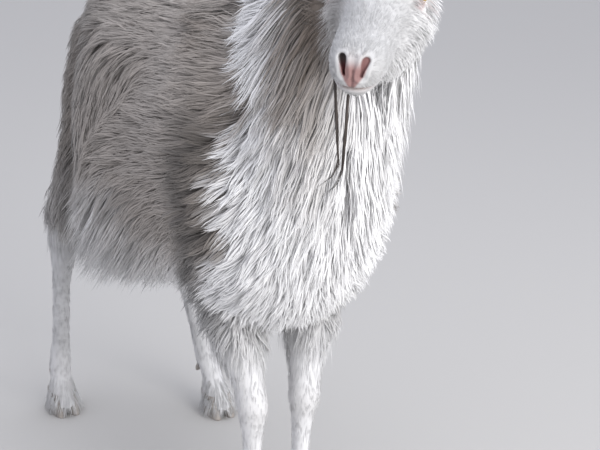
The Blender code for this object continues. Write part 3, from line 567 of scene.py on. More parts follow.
def lie_of(points, normals):
    """Which way the coat lies at each point."""
    part = parts_of(points)
    own, local = part["own"], part["local"]
    side = np.tanh(own[:, 0] / 0.03)
    top = np.clip(normals[:, 2], 0, 1)
    rump = ease(own[:, 1], 0.18, 0.30)
    fall = np.interp(own[:, 2], *FLANK_FALL) + 1.1 * rump
    trunk = unit(ways((0.10 + 0.35 * top) * side, 1.0 - 0.65 * rump, -fall * (1 - 0.5 * top)))
    past_crease = own[:, 1] - CREASE_PLACE - CREASE_SLOPE * (CREASE_HEIGHT - own[:, 2])
    whorl = WHORL_SHARE * ease(past_crease, -0.05, 0.04) * (1 - ease(own[:, 1], 0.14, 0.26))
    whorl = whorl * ease(own[:, 2], 0.46, 0.51) * (1 - ease(own[:, 2], 0.63, 0.69))
    trunk = mix(trunk, WHORL_WAY, column(whorl))
    trunk = mix(trunk, ways(0.35 * side, 0.60, -1.0), column(fringe_of(own)))
    swept = sweep_of(own, normals)
    front = ways(0.40 * side * (1 - swept), 1.35 * swept, -(1 - 0.65 * swept))
    front = front - part["neck_way"] * column(0.30 * part["neck"])
    chest = np.maximum(1 - ease(own[:, 1], -0.30, -0.24), part["neck"])
    lie = mix(unit(trunk), unit(front), column(chest))

    half, under, fluff = np.sign(local[:, 0]), ease(-local[:, 2], -0.01, 0.03), cheek_of(local)
    outward, back = HEAD_AXES[:, 0], HEAD_AXES[:, 1]
    head = back + column(half * (0.8 * fluff + 0.25 * under)) * outward + column(fluff + 0.8 * under) * DOWN
    foot = column(1 - ease(own[:, 2], 0.045, 0.065)) * normals * 0.50
    ear = ways(half * EAR_OUT, -EAR_FORWARD, EAR_UP) @ HEAD_AXES.T
    for name, way in (("head", head), ("leg", ways(0 * side, 0.10, -1.0) + foot),
                      ("tail", ways(0.1 * side, 0.4, -1.0)), ("ear", ear)):
        lie = mix(lie, unit(way), column(part[name]))
    return unit(lie)


def coat_of(points, normals):
    """Length and depth of the coat at each point."""
    part = parts_of(points)
    own, local, up = part["own"], part["local"], part["up_neck"]
    top = np.clip(normals[:, 2], 0, 1)
    chest = 1 - ease(own[:, 1], -0.31, -0.24)
    rump = ease(own[:, 1], 0.18, 0.32)
    low = 1 - ease(own[:, 2], 0.40, 0.50)
    swept = sweep_of(own, normals)
    size = sizes(TRUNK_COAT, (top, -0.008, -0.004), (chest, 0.042, 0.017), (swept * chest, -0.040, -0.010),
                 (low * swept * chest, -0.020, 0), (low * (1 - rump) * (1 - chest), 0.045, 0),
                 (low, 0, 0.006), (rump, 0, -0.003), (fringe_of(own), 0.058, 0), (elbow_of(own), -0.025, 0))
    rise = ease(up, 0.5, 1.0)
    neck = sizes(NECK_COAT, (ease(up, 0.55, 1.0), -0.060, 0), (rise, 0, -0.028), (swept, -0.035, 0),
                 (swept * (1 - rise), 0, -0.014))
    size = mix(size, neck, column(part["neck"]))
    size[:, 0] *= 1 - 0.45 * hump(past_edge(own), -0.020, 0.050) * ease(own[:, 2], 0.42, 0.50)
    fold = hump(own[:, 1], FOLD_PLACE[0], 0.035) * hump(own[:, 2], FOLD_PLACE[1], 0.060)
    size = sizes(size, (fold * (1 - part["leg"]), 0.040, 0.014))

    jaw, cheek = jaw_of(local), cheek_of(local)
    crown = ease(local[:, 1], 0.10, 0.17) * ease(local[:, 2], 0.03, 0.05)
    head = sizes(HEAD_COAT, (jaw, 0.038, 0.006), (crown, 0.018, 0.004), (cheek * (1 - jaw), 0.024, 0),
                 (cheek, 0, 0.013))
    foot = 1 - ease(own[:, 2], 0.045, 0.075)
    upper = ease(own[:, 2], 0.26, 0.35)
    feather = upper * ease(normals[:, 1], 0.0, 0.7) * (own[:, 1] < 0)
    thigh = upper * (own[:, 1] > 0)
    leg = sizes(LEG_COAT, (foot, 0.018, 0.0030), (upper, 0.020, 0.0030), (feather, 0.036, 0.007),
                (thigh, 0.020, 0.004))
    ear = sizes(EAR_COAT, (ease(np.abs(local[:, 0]), 0.095, 0.122), -0.009, 0))
    for name, there in (("head", head), ("leg", leg), ("tail", TAIL_COAT), ("ear", ear)):
        size = mix(size, there, column(part[name]))
    return size[:, 0], size[:, 1]


def stain_and_shade_of(part, grey_share):
    """Share of dust and stains at each point, with painted shade on the throat, the right cheek and the rump
    in the same brown.
    """
    own, local = part["own"], part["local"]
    along, height, leg = own[:, 1], own[:, 2], part["leg"]
    cloud = np.sin(own[:, 0] * 31 + 1.3) * np.sin(along * 23 + 0.4) * np.sin(height * 27 + 2.2)
    cloud = 0.5 + 0.5 * cloud
    low_leg = (1 - ease(height, 0.05, 0.16)) * leg
    knee = hump(height, 0.25, 0.03) * leg * (along < 0)
    # Throat behind the head: partly a brown stain, partly painted shade where the head shades the neck
    throat_stain_and_shade = ease(-along, 0.358, 0.390) * (1 - ease(-along, 0.405, 0.440)) * ease(-own[:, 0], -0.01, 0.02)
    throat_stain_and_shade = throat_stain_and_shade * (0.32 * ease(height, 0.57, 0.65) + 0.48 * ease(height, 0.66, 0.71))
    # Painted shade on the right cheek, in place of the shaded neck seen behind it
    cheek = ease(-local[:, 0], 0.020, 0.036) * ease(local[:, 1], 0.050, 0.090) * part["head"]
    seam = hump(past_edge(own), 0.120, 0.024) * ease(height, 0.665, 0.70)
    # Rump darker and browner towards its edge: partly stain, partly painted shade where it turns from the
    # light
    rump = ease(along, 0.06, 0.20) * (1 - leg)
    stain_and_shade = 0.14 * cloud * grey_share + 0.07 * low_leg * cloud + 0.14 * knee + throat_stain_and_shade + 0.60 * seam
    return np.clip(stain_and_shade + 0.40 * cheek + 0.45 * rump, 0, 1)


def painted_shade_of(part):
    """Painted shade on the coat at each point: the ruff's shadow behind the shoulder, and painted shade on
    the rump, face and legs.
    """
    own, local, leg = part["own"], part["local"], part["leg"]
    along, height = own[:, 1], own[:, 2]
    # Painted shadow of the ruff on the flank just behind its edge
    shoulder = hump(past_edge(own), 0.030, 0.028) * (1 - ease(height, 0.60, 0.68)) * (1 - leg)
    # Painted shade towards the rump's edge
    rump = ease(along, 0.06, 0.20) * (1 - leg)
    # Painted shade on the legs, more on the hind legs, less at the feet and none on the upper thigh
    hind = HIND_SHADE * (1 - ease(height, 0.28, 0.36))
    legs = np.where(along > 0, hind, FORE_SHADE) * (0.60 + 0.40 * ease(height, 0.06, 0.14))
    long_hair = np.maximum.reduce([jaw_of(local), cheek_of(local), part["ear"]])
    # Painted shade on the smooth face, less where the hair of jaw, cheeks and ears is longer
    face = FACE_SHADE * part["head"] * (1 - 0.75 * long_hair)
    return (1 - 0.65 * shoulder) * (1 - 0.38 * rump) * (1 - face) * (1 - legs * leg)


def bare_of(local, head):
    """Share of bare skin on the pad of the nose and the lips."""
    across, back, up = np.abs(local[:, 0]), local[:, 1], local[:, 2]
    width = np.interp(up, (-0.022, -0.014, -0.006, 0.004, 0.011), (0.0010, 0.0060, 0.0110, 0.0135, 0.0130))
    pad = (1 - ease(across - width, -0.0016, 0.0016)) * (1 - 0.85 * ease(up, -0.002, 0.010))
    pad = pad * (1 - ease(up, 0.010, 0.015)) * (1 - ease(back, 0.002, 0.012)) * ease(up, -0.0215, -0.0190)
    lips = 0.22 * hump(up, mouth_line(local), 0.0040) * (1 - ease(back, 0.03, 0.05))
    return np.clip((pad + lips * (1 - ease(back, 0.012, 0.030))) * head, 0, 1)


def tone_of(points):
    """Colour of coat and skin at each point, from the goat's own markings with painted shade mixed in, and
    the share of bare skin.
    """
    looks = bpy.context.scene.goat_markings
    white, grey, dirt_and_shade, pink = (np.array(colour) for colour in
                               (looks.white, looks.grey, looks.dirt_and_shade, looks.nose_pink))
    part = parts_of(points)
    own, local, head = part["own"], part["local"], part["head"]
    low_white = 1 - ease(own[:, 2], 0.39, 0.50)
    # Grey of flank, back and rump: partly the coat's own colour, partly painted shade of the side turned from
    # the light
    grey_share = ease(past_edge(own), -0.010, 0.012) * (1 - part["leg"] * 0.92) * (1 - head)
    grey_share = grey_share * (1 - 0.85 * low_white) * (1 - 0.70 * fringe_of(own))
    tone = mix(white, grey, column(grey_share))
    # Dust and stains with some painted shade, then painted shade on the ruff's edge, rump, face and legs
    tone = mix(tone, dirt_and_shade, column(stain_and_shade_of(part, grey_share))) * column(painted_shade_of(part))
    bare = bare_of(local, head)
    from_eye = np.linalg.norm(folded(local) - np.array(EYE_PLACE), axis=1)
    lids = 0.70 * (1 - ease(from_eye, 0.014, 0.0205)) * head
    tone = mix(mix(tone, pink, column(bare)), pink, column(lids))
    # Painted shade along the line of the closed mouth
    closed = 0.70 * hump(local[:, 2], mouth_line(local), 0.0012) * (1 - ease(local[:, 1], 0.03, 0.05)) * head
    return mix(tone, MOUTH_SHADE, column(closed)), bare


# The skin

def paint(mesh, colours):
    """Write a colour for each point."""
    attribute = mesh.color_attributes.new(TONE, "FLOAT_COLOR", "POINT")
    filled = np.ones((len(mesh.vertices), 4), np.float32)
    filled[:, :3] = colours
    attribute.data.foreach_set("color", filled.ravel())


def finer_where(piece, chosen):
    """Subdivide the faces whose middles a test of the head's frame picks."""
    deselect()
    piece.select_set(True)
    bpy.context.view_layer.objects.active = piece
    bpy.ops.object.mode_set(mode="EDIT")
    bpy.ops.mesh.select_mode(type="FACE")
    bpy.ops.mesh.select_all(action="DESELECT")
    shape = bmesh.from_edit_mesh(piece.data)
    middles = np.array([face.calc_center_median() for face in shape.faces])
    picked = chosen(in_head(middles))
    for face, pick in zip(shape.faces, picked):
        face.select_set(bool(pick))
    bmesh.update_edit_mesh(piece.data)
    bpy.ops.mesh.subdivide(number_cuts=1, smoothness=1.0)
    bpy.ops.object.mode_set(mode="OBJECT")


def shape_face(piece):
    """Press nostrils, the split of the lip, the line of the mouth and the eyes' hollows into the head."""
    mesh = piece.data
    points = points_of(mesh)
    local = in_head(points)
    facing = normals_of(mesh) @ HEAD_AXES
    near = np.linalg.norm(local - np.array((0, 0.08, 0)), axis=1) < 0.13
    move = np.zeros_like(local)
    for side in (1, -1):
        flip = np.array((side, 1, 1))
        place = local * flip
        away = nostril_distance(place)
        front = 1 - ease(place[:, 1], 0.012, 0.020)
        wide = 0.0011 + 0.0021 * ease(place[:, 2], -0.005, 0.008)
        move[:, 1] += NOSTRIL_DEPTH[side] * (1 - ease(away, wide * 0.5, wide * 1.5)) * front
        move += facing * column(NOSTRIL_RIM * hump(away, 0.0058, 0.0022) * front)
        offset = place - np.array(EYE_PLACE)
        lid = np.where(offset[:, 2] < 0, LID_HEIGHT * LOWER_LID, LID_HEIGHT)
        almond = np.hypot(offset[:, 1] / LID_LENGTH, offset[:, 2] / lid)
        radius = np.linalg.norm(offset, axis=1)
        inner = (1 - ease(almond, 0.86, 1.0)) * (offset[:, 0] > -0.004) * (radius < 0.03)
        wanted = offset * column(np.minimum(EYE_RADIUS * EYE_HOLLOW / np.maximum(radius, 1e-6), 1.0))
        move += column(inner) * (wanted - offset) * flip
        corner = np.hypot(local[:, 1] - 0.108, local[:, 2] - 0.024)
        move[:, 0] -= side * 0.0022 * hump(corner, 0, 0.007) * (place[:, 0] > 0.01)
    move[:, 1] += (0.0016 * hump(local[:, 0], 0, 0.0013) * (1 - ease(local[:, 1], 0.0, 0.008))
                   * ease(-local[:, 2], 0.000, 0.004) * (1 - ease(-local[:, 2], 0.018, 0.024)))
    line = MOUTH_FRONT + MOUTH_RISE * np.clip((local[:, 1] + 0.004) / MOUTH_CORNER, 0, 1) ** 1.2
    along = 1 - ease(local[:, 1], MOUTH_CORNER - 0.008, MOUTH_CORNER)
    lips = hump(local[:, 2], line + 0.0045, 0.003) + hump(local[:, 2], line - 0.0040, 0.003)
    cheek = hump(local[:, 1], 0.085, 0.022) * hump(local[:, 2], 0.004, 0.012) * (np.abs(facing[:, 0]) > 0.4)
    swell = (LIP_SWELL * lips - MOUTH_DEPTH * hump(local[:, 2], line, 0.0015)) * along - 0.0022 * cheek
    move += facing * column(swell)
    points = points + (move * column(near)) @ HEAD_AXES.T
    mesh.vertices.foreach_set("co", points.astype(np.float32).ravel())
    mesh.update()


def ear_loft(side):
    """One ear: a leaf shape with a cup on its forward face."""
    root = sided(EAR_ROOT, side)
    along = Vector((EAR_OUT * side, -EAR_FORWARD, EAR_UP)).normalized()
    ahead = Vector((0.25 * side, -1.0, -0.10))
    front = (ahead - along * along.dot(ahead)).normalized()
    across = along.cross(front).normalized()
    rings = []
    for share, width, cup in finer(EAR_STATIONS, 3):
        centre = root + along * (share * EAR_LENGTH)
        outer, inner = [], []
        for i in range(11):
            reach = -1 + 2 * i / 10
            bow = -cup * EAR_CUP * (1 - reach * reach)
            wall = EAR_WALL * (1.0 if 0 < i < 10 else 0.45)
            edge = centre + across * (width * EAR_WIDTH / 2 * reach)
            outer.append(edge + front * (bow - wall))
            inner.append(edge + front * bow)
        rings.append([HEAD_PLACE @ point for point in outer + inner[::-1]])
    return loft(f"ear {side}", rings)


def lid_ring(side):
    """The rim of both lids round one eye, an almond shape."""
    deselect()
    bpy.ops.mesh.primitive_torus_add(major_segments=36, minor_segments=10, major_radius=1.0, minor_radius=0.2)
    piece = bpy.context.object
    for vertex in piece.data.vertices:
        x, y, z = vertex.co
        reach = math.hypot(x, y)
        wide, high = x / reach, y / reach
        out = (reach - 1.0) / 0.2 * LID_THICKNESS
        depth = z / 0.2 * LID_THICKNESS * 1.3
        height = LID_HEIGHT * (LOWER_LID if high < 0 else 1)
        outward = LID_OUT - 0.004 * wide * wide + depth
        rim = Vector((outward, (LID_LENGTH + out) * wide, (height + out) * high))
        vertex.co = HEAD_PLACE @ sided(EYE_PLACE + rim, side)
    piece.matrix_world = Matrix.Identity(4)
    return piece


def nostril_tone(local, tone, pink):
    """The skin's tone with the insides of the nostrils, painted shade deep in the right one and painted light
    in the left.
    """
    for side in (1, -1):
        place = local * np.array((side, 1, 1))
        high = column(ease(place[:, 2], -0.004, 0.006))
        wide = 0.0016 + 0.0022 * ease(place[:, 2], -0.005, 0.008)
        deep = (1 - ease(nostril_distance(place), wide * 0.7, wide * 1.25)) * (local[:, 1] < 0.02)
        # Painted shade high in the right nostril, a lighter painted tone in the left where light falls in
        inner = mix(NOSTRIL_RED, NOSTRIL_SHADE, high) if side < 0 else NOSTRIL_RED * 0.40 + pink * 0.45
        tone = mix(tone, inner, column(deep))
    return tone


class GOAT_OT_skin(bpy.types.Operator):
    """Build the skin under the coat"""
    bl_idname = "goat.skin"
    bl_label = "Skin"

    def execute(self, context):
        trunk, skull = upright_rings(finer(TRUNK, 3), 40), upright_rings(finer(HEAD, 4), 40)
        lofts = [loft("skin", [[point + SHIFT for point in section] for section in trunk]),
                 loft("neck", path_rings(finer(NECK, 4), 36)),
                 loft("tail", path_rings(finer(TAIL, 4), 16))]
        lofts += [loft("leg", level_rings(finer(rows, 4) + [cuff_row(rows[-1])], 28)) for rows in LEGS]
        lofts.append(loft("skull", [[HEAD_PLACE @ point for point in section] for section in skull]))
        for side in (1, -1):
            deselect()
            bpy.ops.mesh.primitive_uv_sphere_add(segments=32, ring_count=20, radius=1.0)
            brow = bpy.context.object
            place = Matrix.Translation(sided(ORBIT_PLACE, side))
            brow.data.transform(HEAD_PLACE @ place @ Matrix.Diagonal((*ORBIT_SIZE, 1)))
            brow.matrix_world = Matrix.Identity(4)
            lofts.append(brow)
        skin = join(lofts)
        apply_modifier(skin, "REMESH", mode="VOXEL", voxel_size=VOXEL)
        apply_modifier(skin, "SMOOTH", factor=0.5, iterations=5)
        finer_where(skin, lambda local: np.linalg.norm(local - (0, 0.07, 0), axis=1) < 0.115)
        finer_where(skin, lambda local: (local[:, 1] < 0.040)
                    | (np.linalg.norm(np.abs(local) - np.array(EYE_PLACE), axis=1) < 0.024))
        finer_where(skin, lambda local: (local[:, 1] < 0.014) & (np.abs(local[:, 0]) < 0.023)
                    & (local[:, 2] > -0.014) & (local[:, 2] < 0.018))
        shape_face(skin)
        ears = [ear_loft(side) for side in (1, -1)]
        for piece in ears:
            apply_modifier(piece, "SUBSURF", levels=1, render_levels=1)
        lids = [lid_ring(side) for side in (1, -1)]
        skin = join([skin, *ears, *lids])
        skin.name = skin.data.name = "skin"
        points = points_of(skin.data)
        tone = tone_of(points)[0]
        pink = np.array(context.scene.goat_markings.nose_pink)
        paint(skin.data, nostril_tone(in_head(points), tone, pink))
        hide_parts(*FLESH)
        dress(skin, skin_material())
        return {"FINISHED"}


# The coat

def skin_search(skin):
    """A search tree over the skin, with its points, their facing and its triangles."""
    mesh = skin.data
    mesh.calc_loop_triangles()
    points, triangles = points_of(mesh), read(mesh.loop_triangles, "vertices", np.int32)
    return BVHTree.FromPolygons(points.tolist(), triangles.tolist()), points, normals_of(mesh), triangles


def nearest(tree, places):
    """The nearest points of the skin and its facing there."""
    found, facing = np.empty_like(places), np.empty_like(places)
    for i, place in enumerate(places.tolist()):
        spot, normal, _, _ = tree.find_nearest(place)
        found[i], facing[i] = spot, normal
    return found, facing


def scatter(skin_data, weight, count, draw):
    """Roots spread over the skin, as many for each unit of weight, and the skin's facing there."""
    _, points, normals, triangles = skin_data
    a, b, c = (points[triangles[:, i]] for i in range(3))
    area = np.linalg.norm(np.cross(b - a, c - a), axis=1) / 2
    share = np.cumsum(area * weight)
    picked = np.minimum(np.searchsorted(share, draw.random(count) * share[-1]), len(triangles) - 1)
    u, v = draw.random(count), draw.random(count)
    flip = u + v > 1
    u[flip], v[flip] = 1 - u[flip], 1 - v[flip]
    corners = triangles[picked].T
    parts = column(1 - u - v), column(u), column(v)
    roots, facing = (sum(values[corner] * part for corner, part in zip(corners, parts))
                     for values in (points, normals))
    return roots, unit(facing)


def comb(tree, roots, normals, length, depth, hold, steps, hang):
    """Guide lines from the roots: they rise to the coat's depth, follow the lie and hang off the skin."""
    lie = lie_of(roots, normals)
    flow = unit(lie - normals * dot(lie, normals) + normals * 0.30)
    place, lines, facings = roots.copy(), [roots.copy()], [normals.copy()]
    facing = normals.copy()
    for step in range(1, steps + 1):
        share = step / steps
        place = place + flow * column(length / steps)
        spot, near_normal = nearest(tree, place)
        above = ((place - spot) * near_normal).sum(1)
        wanted = depth * (1 - (1 - share) ** 2)
        own = place - np.array(SHIFT)
        loose = np.maximum(fringe_of(own), 1 - ease(own[:, 2], 0.035, 0.050))
        push = np.where(above < wanted, wanted - above, -(above - wanted) * hold * (1 - loose))
        place = place + near_normal * column(push)
        facing = unit(facing + near_normal * 0.8)
        lie = lie_of(place, near_normal)
        flow = unit(flow + lie * 0.55 + DOWN * hang)
        into = np.minimum(dot(flow, near_normal), 0)
        flow = unit(flow - near_normal * into)
        lines.append(place.copy())
        facings.append(facing.copy())
    return np.stack(lines, 1), np.stack(facings, 1)


def along_lines(lines, owner, share):
    """Points on the owner's guide line at a share of its length."""
    at = np.clip(share, 0, 1) * (lines.shape[1] - 1)
    low = np.minimum(at.astype(int), lines.shape[1] - 2)
    part = (at - low)[..., None]
    rows = owner[:, None]
    return lines[rows, low] * (1 - part) + lines[rows, low + 1] * part


def skin_spread(points):
    """A place from 0 to 1 each way for every point on an unwrap of the body: round it and along it."""
    part = parts_of(points)
    own, local = part["own"], part["local"]
    turn = np.arctan2(own[:, 0], own[:, 2] - 0.55) / math.tau + 0.5
    u, v = 0.02 + 0.46 * turn, 0.02 + 0.46 * np.clip((own[:, 1] + 0.40) / 0.86, 0, 1)
    neck = part["neck"] > 0.5
    around = np.arctan2(own[:, 0] - 0.012, own[:, 1] + 0.30 + 0.4 * (own[:, 2] - 0.63)) / math.tau + 0.5
    u = np.where(neck, 0.52 + 0.46 * around, u)
    v = np.where(neck, 0.02 + 0.46 * part["up_neck"], v)
    head = part["head"] > 0.5
    face = np.arctan2(local[:, 0], local[:, 2]) / math.tau + 0.5
    u = np.where(head, 0.02 + 0.46 * face, u)
    v = np.where(head, 0.52 + 0.46 * np.clip((local[:, 1] + 0.02) / 0.26, 0, 1), v)
    leg = part["leg"] > 0.5
    quarter = (own[:, 0] > 0) * 1 + (own[:, 1] > 0) * 2
    swing = np.arctan2(own[:, 0] - np.where(own[:, 0] > 0, 0.05, -0.05), own[:, 1] % 0.25 - 0.12)
    swing = swing / math.tau + 0.5
    u = np.where(leg, 0.52 + 0.115 * quarter + 0.105 * swing, u)
    v = np.where(leg, 0.52 + 0.46 * np.clip(own[:, 2] / 0.42, 0, 1), v)
    return np.stack([u, v], 1)


def soften(piece, lines, across, out, face):
    """Shade the tufts mostly as the skin under them faces, so that the coat looks soft."""
    own = np.stack([-across, out, across], axis=2)
    mixed = unit(own * (1 - SOFTNESS) + face[:, :, None] * SOFTNESS)
    count = len(lines)
    flat = np.concatenate([mixed[:, :-1].reshape(count, -1, 3), face[:, -1:]], axis=1)
    piece.data.normals_split_custom_set_from_vertices(flat.reshape(-1, 3).tolist())


def tuft_mesh(name, lines, across, out, half, thick, colours, spread):
    """One mesh of closed, tapered tufts of three sides, from arrays of their rings."""
    count, rings = lines.shape[:2]
    sides = np.stack([lines - across * half[..., None], lines + out * thick[..., None],
                      lines + across * half[..., None]], axis=2)
    points = np.concatenate([sides[:, :-1].reshape(count, -1, 3), lines[:, -1:]], axis=1)
    per = points.shape[1]
    tip, last = per - 1, per - 4
    faces = [(2, 1, 0)]
    faces += [(low + i, low + (i + 1) % 3, low + 3 + (i + 1) % 3, low + 3 + i)
              for low in range(0, last, 3) for i in range(3)]
    faces += [(last + i, last + (i + 1) % 3, tip) for i in range(3)]
    pattern = np.array([corner for face in faces for corner in face], np.int32)
    starts = np.cumsum([0] + [len(face) for face in faces])
    mesh = bpy.data.meshes.new(name)
    mesh.vertices.add(count * per)
    mesh.vertices.foreach_set("co", points.astype(np.float32).ravel())
    corners = (np.arange(count, dtype=np.int32)[:, None] * per + pattern[None]).ravel()
    mesh.loops.add(len(corners))
    mesh.loops.foreach_set("vertex_index", corners)
    mesh.polygons.add(count * len(faces))
    first = np.arange(count)[:, None] * starts[-1] + starts[None, :-1]
    mesh.polygons.foreach_set("loop_start", first.astype(np.int32).ravel())
    mesh.update(calc_edges=True)
    layer = mesh.uv_layers.new(name="OFBake")
    patch = np.stack([pattern // 3 / (rings - 1), np.where(pattern < tip, pattern % 3 / 2, 0.5)], 1) - 0.5
    layer.data.foreach_set("uv", (spread[:, None, :] + patch[None] * PATCH).astype(np.float32).ravel())
    shades = np.concatenate([np.repeat(colours[:, :-1], 3, axis=1), colours[:, -1:]], axis=1)
    paint(mesh, shades.reshape(-1, 3))
    piece = bpy.data.objects.new(name, mesh)
    bpy.context.scene.collection.objects.link(piece)
    return piece


# Side of a tuft's patch on the unwrap, steps of a guide line, and how far tufts are shaded as the skin
PATCH, GUIDE_STEPS, SOFTNESS = 0.003, 8, 0.75
# Least share of a tuft above the hem, hem's drop from its root, most depth of short hair, gap over the floor
SHORTEST, HEM_BELOW_ROOT, SHORT_DEPTH, FLOOR_CLEAR = 0.22, 0.035, 0.014, 0.0015
# Spread of the draws: length and depth of clumps, reach and height of tufts in a clump, hems of both
CLUMP_LENGTH, CLUMP_DEPTH, REACH, HEIGHT = (0.82, 1.15), (0.75, 1.10), (0.70, 1.10), (0.25, 1.0)
CLUMP_HEM, TUFT_HEM, STRAY, TWIST, WIDTH_SPREAD = (-0.006, 0.022), (-0.012, 0.018), 0.035, 0.5, (0.7, 1.3)
# Random light and dark between clumps and tufts, and what the fringe adds to it, to the gathering and to the
# painted shade of its deeper tufts
MOTTLE, FRINGE_MOTTLE, FRINGE_GATHER, FRINGE_SHADE = 0.07, 0.16, 0.40, 0.44
TAPER = ((0, 0.25, 0.6, 0.85, 1.0), (0.75, 1.0, 0.80, 0.45, 0.0))
# Where the chest's hair ends and the rump's begins, along the body
CHEST_END, REAR_FROM = -0.24, 0.03


def share_above(lines, hem):
    """Share of each guide line above its hem."""
    spare = lines[:, :, 2] - column(hem)
    crossed = (spare < 0).argmax(axis=1)
    row = np.arange(len(lines))
    above, below = spare[row, np.maximum(crossed - 1, 0)], spare[row, crossed]
    part = (crossed - 1 + above / np.maximum(above - below, 1e-6)) / GUIDE_STEPS
    return np.where((spare < 0).any(axis=1), np.clip(part, SHORTEST, 1.0), 1.0)


def kept_above(line, hem):
    """The tufts, drawn back towards their roots where their tips pass the hem."""
    root, tip = line[:, 0, 2], line[:, -1, 2]
    left = np.clip((root - hem) / np.maximum(root - tip, 1e-4), SHORTEST, 1)
    return line[:, :1] + (line - line[:, :1]) * np.where(hem > tip, left, 1.0)[:, None, None]


def owners(seeds, roots):
    """The nearest clump of each root."""
    search = KDTree(len(seeds))
    for i, seed in enumerate(seeds):
        search.insert(seed, i)
    search.balance()
    return np.array([search.find(root)[1] for root in roots.tolist()])


def tufts(name, skin_data, chosen, draw, clumps, count, rings, width, gather=0.75, wave=0.004, hold=0.25,
          hang=0.10):
    """A coat piece: tufts in clumps over the part of the skin that the chosen weights pick."""
    tree, points, normals, triangles = skin_data
    settings = bpy.context.scene.goat_coat
    count = int(count * settings.density)
    weight = chosen(points[triangles].mean(axis=1), unit(normals[triangles].mean(axis=1)))
    seeds, seed_normals = scatter(skin_data, weight, clumps, draw)
    length, depth = coat_of(seeds, seed_normals)
    length = length * draw.uniform(*CLUMP_LENGTH, clumps) * settings.length
    depth = depth * draw.uniform(*CLUMP_DEPTH, clumps)
    long = wave > 0.001
    if not long:
        depth = np.minimum(depth, SHORT_DEPTH)
    lines, facings = comb(tree, seeds, seed_normals, length, depth, hold, GUIDE_STEPS, hang)
    cut = np.ones(clumps)
    if long:
        hem = hem_of(lines[:, -1]) + draw.uniform(*CLUMP_HEM, clumps)
        cut = share_above(lines, np.minimum(hem, seeds[:, 2] - HEM_BELOW_ROOT))
    roots, root_normals = scatter(skin_data, weight, count, draw)
    owner = owners(seeds, roots)
    fringe = column(fringe_of(roots - np.array(SHIFT)))

    share = np.linspace(0, 1, rings)[None]
    reach = column(draw.uniform(*REACH, count))
    height = column(draw.uniform(*HEIGHT, count))
    at = share * np.minimum(reach, 1.08) * cut[owner][:, None]
    line = along_lines(lines, owner, at)
    face = unit(along_lines(facings, owner, at))
    way = unit(np.gradient(line, axis=1))
    across = unit(np.cross(way, face))
    offset = (roots - seeds[owner])[:, None, :]
    lengthwise = dot(offset, way) * way
    draw_in = ((gather + FRINGE_GATHER * fringe) * share ** 1.3)[..., None]
    line = line + lengthwise * (1 - 0.35 * draw_in) + (offset - lengthwise) * (1 - draw_in)
    line = line - face * ((1 - height) * column(depth[owner]) * (1 - (1 - at) ** 2) * 0.42)[..., None]
    beat = math.tau * at * column(length[owner] / settings.wave_length)
    phase = column(draw.uniform(0, math.tau, clumps)[owner] + draw.normal(0, 0.30, count))
    size = wave * settings.wave * share ** 0.8
    line = line + across * (size * np.sin(beat + phase))[..., None]
    line = line + face * (0.4 * size * np.cos(beat * 0.8 + phase))[..., None]
    line = line + draw.normal(0, 1, (count, 1, 3)) * (share ** 1.5 * column(length[owner]) * STRAY)[..., None]
    if long:
        hem = hem_of(line[:, -1]) + draw.uniform(*TUFT_HEM, count)
        line = kept_above(line, np.minimum(hem, roots[:, 2] - HEM_BELOW_ROOT))

    way = unit(np.gradient(line, axis=1))
    twist = column(draw.normal(0, TWIST, count))[..., None]
    across = unit(np.cross(way, face))
    out = unit(np.cross(across, way))
    across, out = across * np.cos(twist) + out * np.sin(twist), out * np.cos(twist) - across * np.sin(twist)
    line[:, 0] = roots - root_normals * 0.0015
    line[:, :, 2] = np.maximum(line[:, :, 2], FLOOR_CLEAR)
    half = column(width * draw.uniform(*WIDTH_SPREAD, count)) / 2 * np.interp(share[0], *TAPER)[None]
    mottle = column(draw.normal(0.0, 1.0, clumps)[owner]) * (MOTTLE + FRINGE_MOTTLE * fringe)
    # Random tone by clump and tuft, with painted shade at the roots and on tufts that lie deeper in the coat
    shade = (1 + mottle) * column(draw.normal(1.0, MOTTLE, count)) * (0.90 + 0.10 * ease(share, 0.0, 0.6))
    shade = shade * (1 - (0.06 + FRINGE_SHADE * fringe) * (1 - height))
    colours = np.clip(tone_of(roots)[0][:, None, :] * shade[..., None], 0, 1)
    piece = tuft_mesh(name, line, across, out, half, half * 0.6, colours, skin_spread(roots))
    dress(piece, coat_material())
    soften(piece, line, across, out, face)


def face_weight(points, part):
    """Where the face has short hair: off the pad of the nose, the mouth, nostrils, eyes and ears."""
    local = part["local"]
    from_eye = np.linalg.norm(np.abs(local) - np.array(EYE_PLACE), axis=1)
    closed_mouth = (np.abs(local[:, 2] - mouth_line(local)) < 0.006) * (local[:, 1] < 0.04)
    clear = (nostril_distance(folded(local)) > NOSTRIL_CLEAR) | (local[:, 1] > 0.030)
    return (part["head"] * (1 - closed_mouth) * (tone_of(points)[1] < 0.25) * ease(from_eye, 0.014, 0.019)
            * clear * (part["ear"] < 0.5) * (1 + 0.8 * (local[:, 1] < 0.06)))


def region(name, sign=0):
    """Weights over the skin of one piece of the coat; the long coat's are on the side of the sign."""
    def chosen(points, normals):
        part = parts_of(points)
        if name == "face":
            return face_weight(points, part)
        own, neck = part["own"], part["neck"] > 0.5
        along = own[:, 1]
        short = {"legs": (part["leg"] > 0.3) * (1 + 2.0 * (own[:, 2] < 0.06)),
                 "ears": (part["ear"] > 0.5) * 1.0, "tail": part["tail"]}
        long = {"neck": neck * (1 + 0.8 * np.clip(-normals[:, 1], 0, 1)),
                "chest": ~neck & (along < CHEST_END),
                "flank": ~neck & (along >= CHEST_END) & (along < REAR_FROM), "rump": along >= REAR_FROM}
        if name in short:
            return short[name]
        free = (1 - part["head"]) * (1 - (part["leg"] > 0.6)) * (1 - part["tail"])
        return free * (own[:, 0] * sign > 0) * long[name]
    return chosen


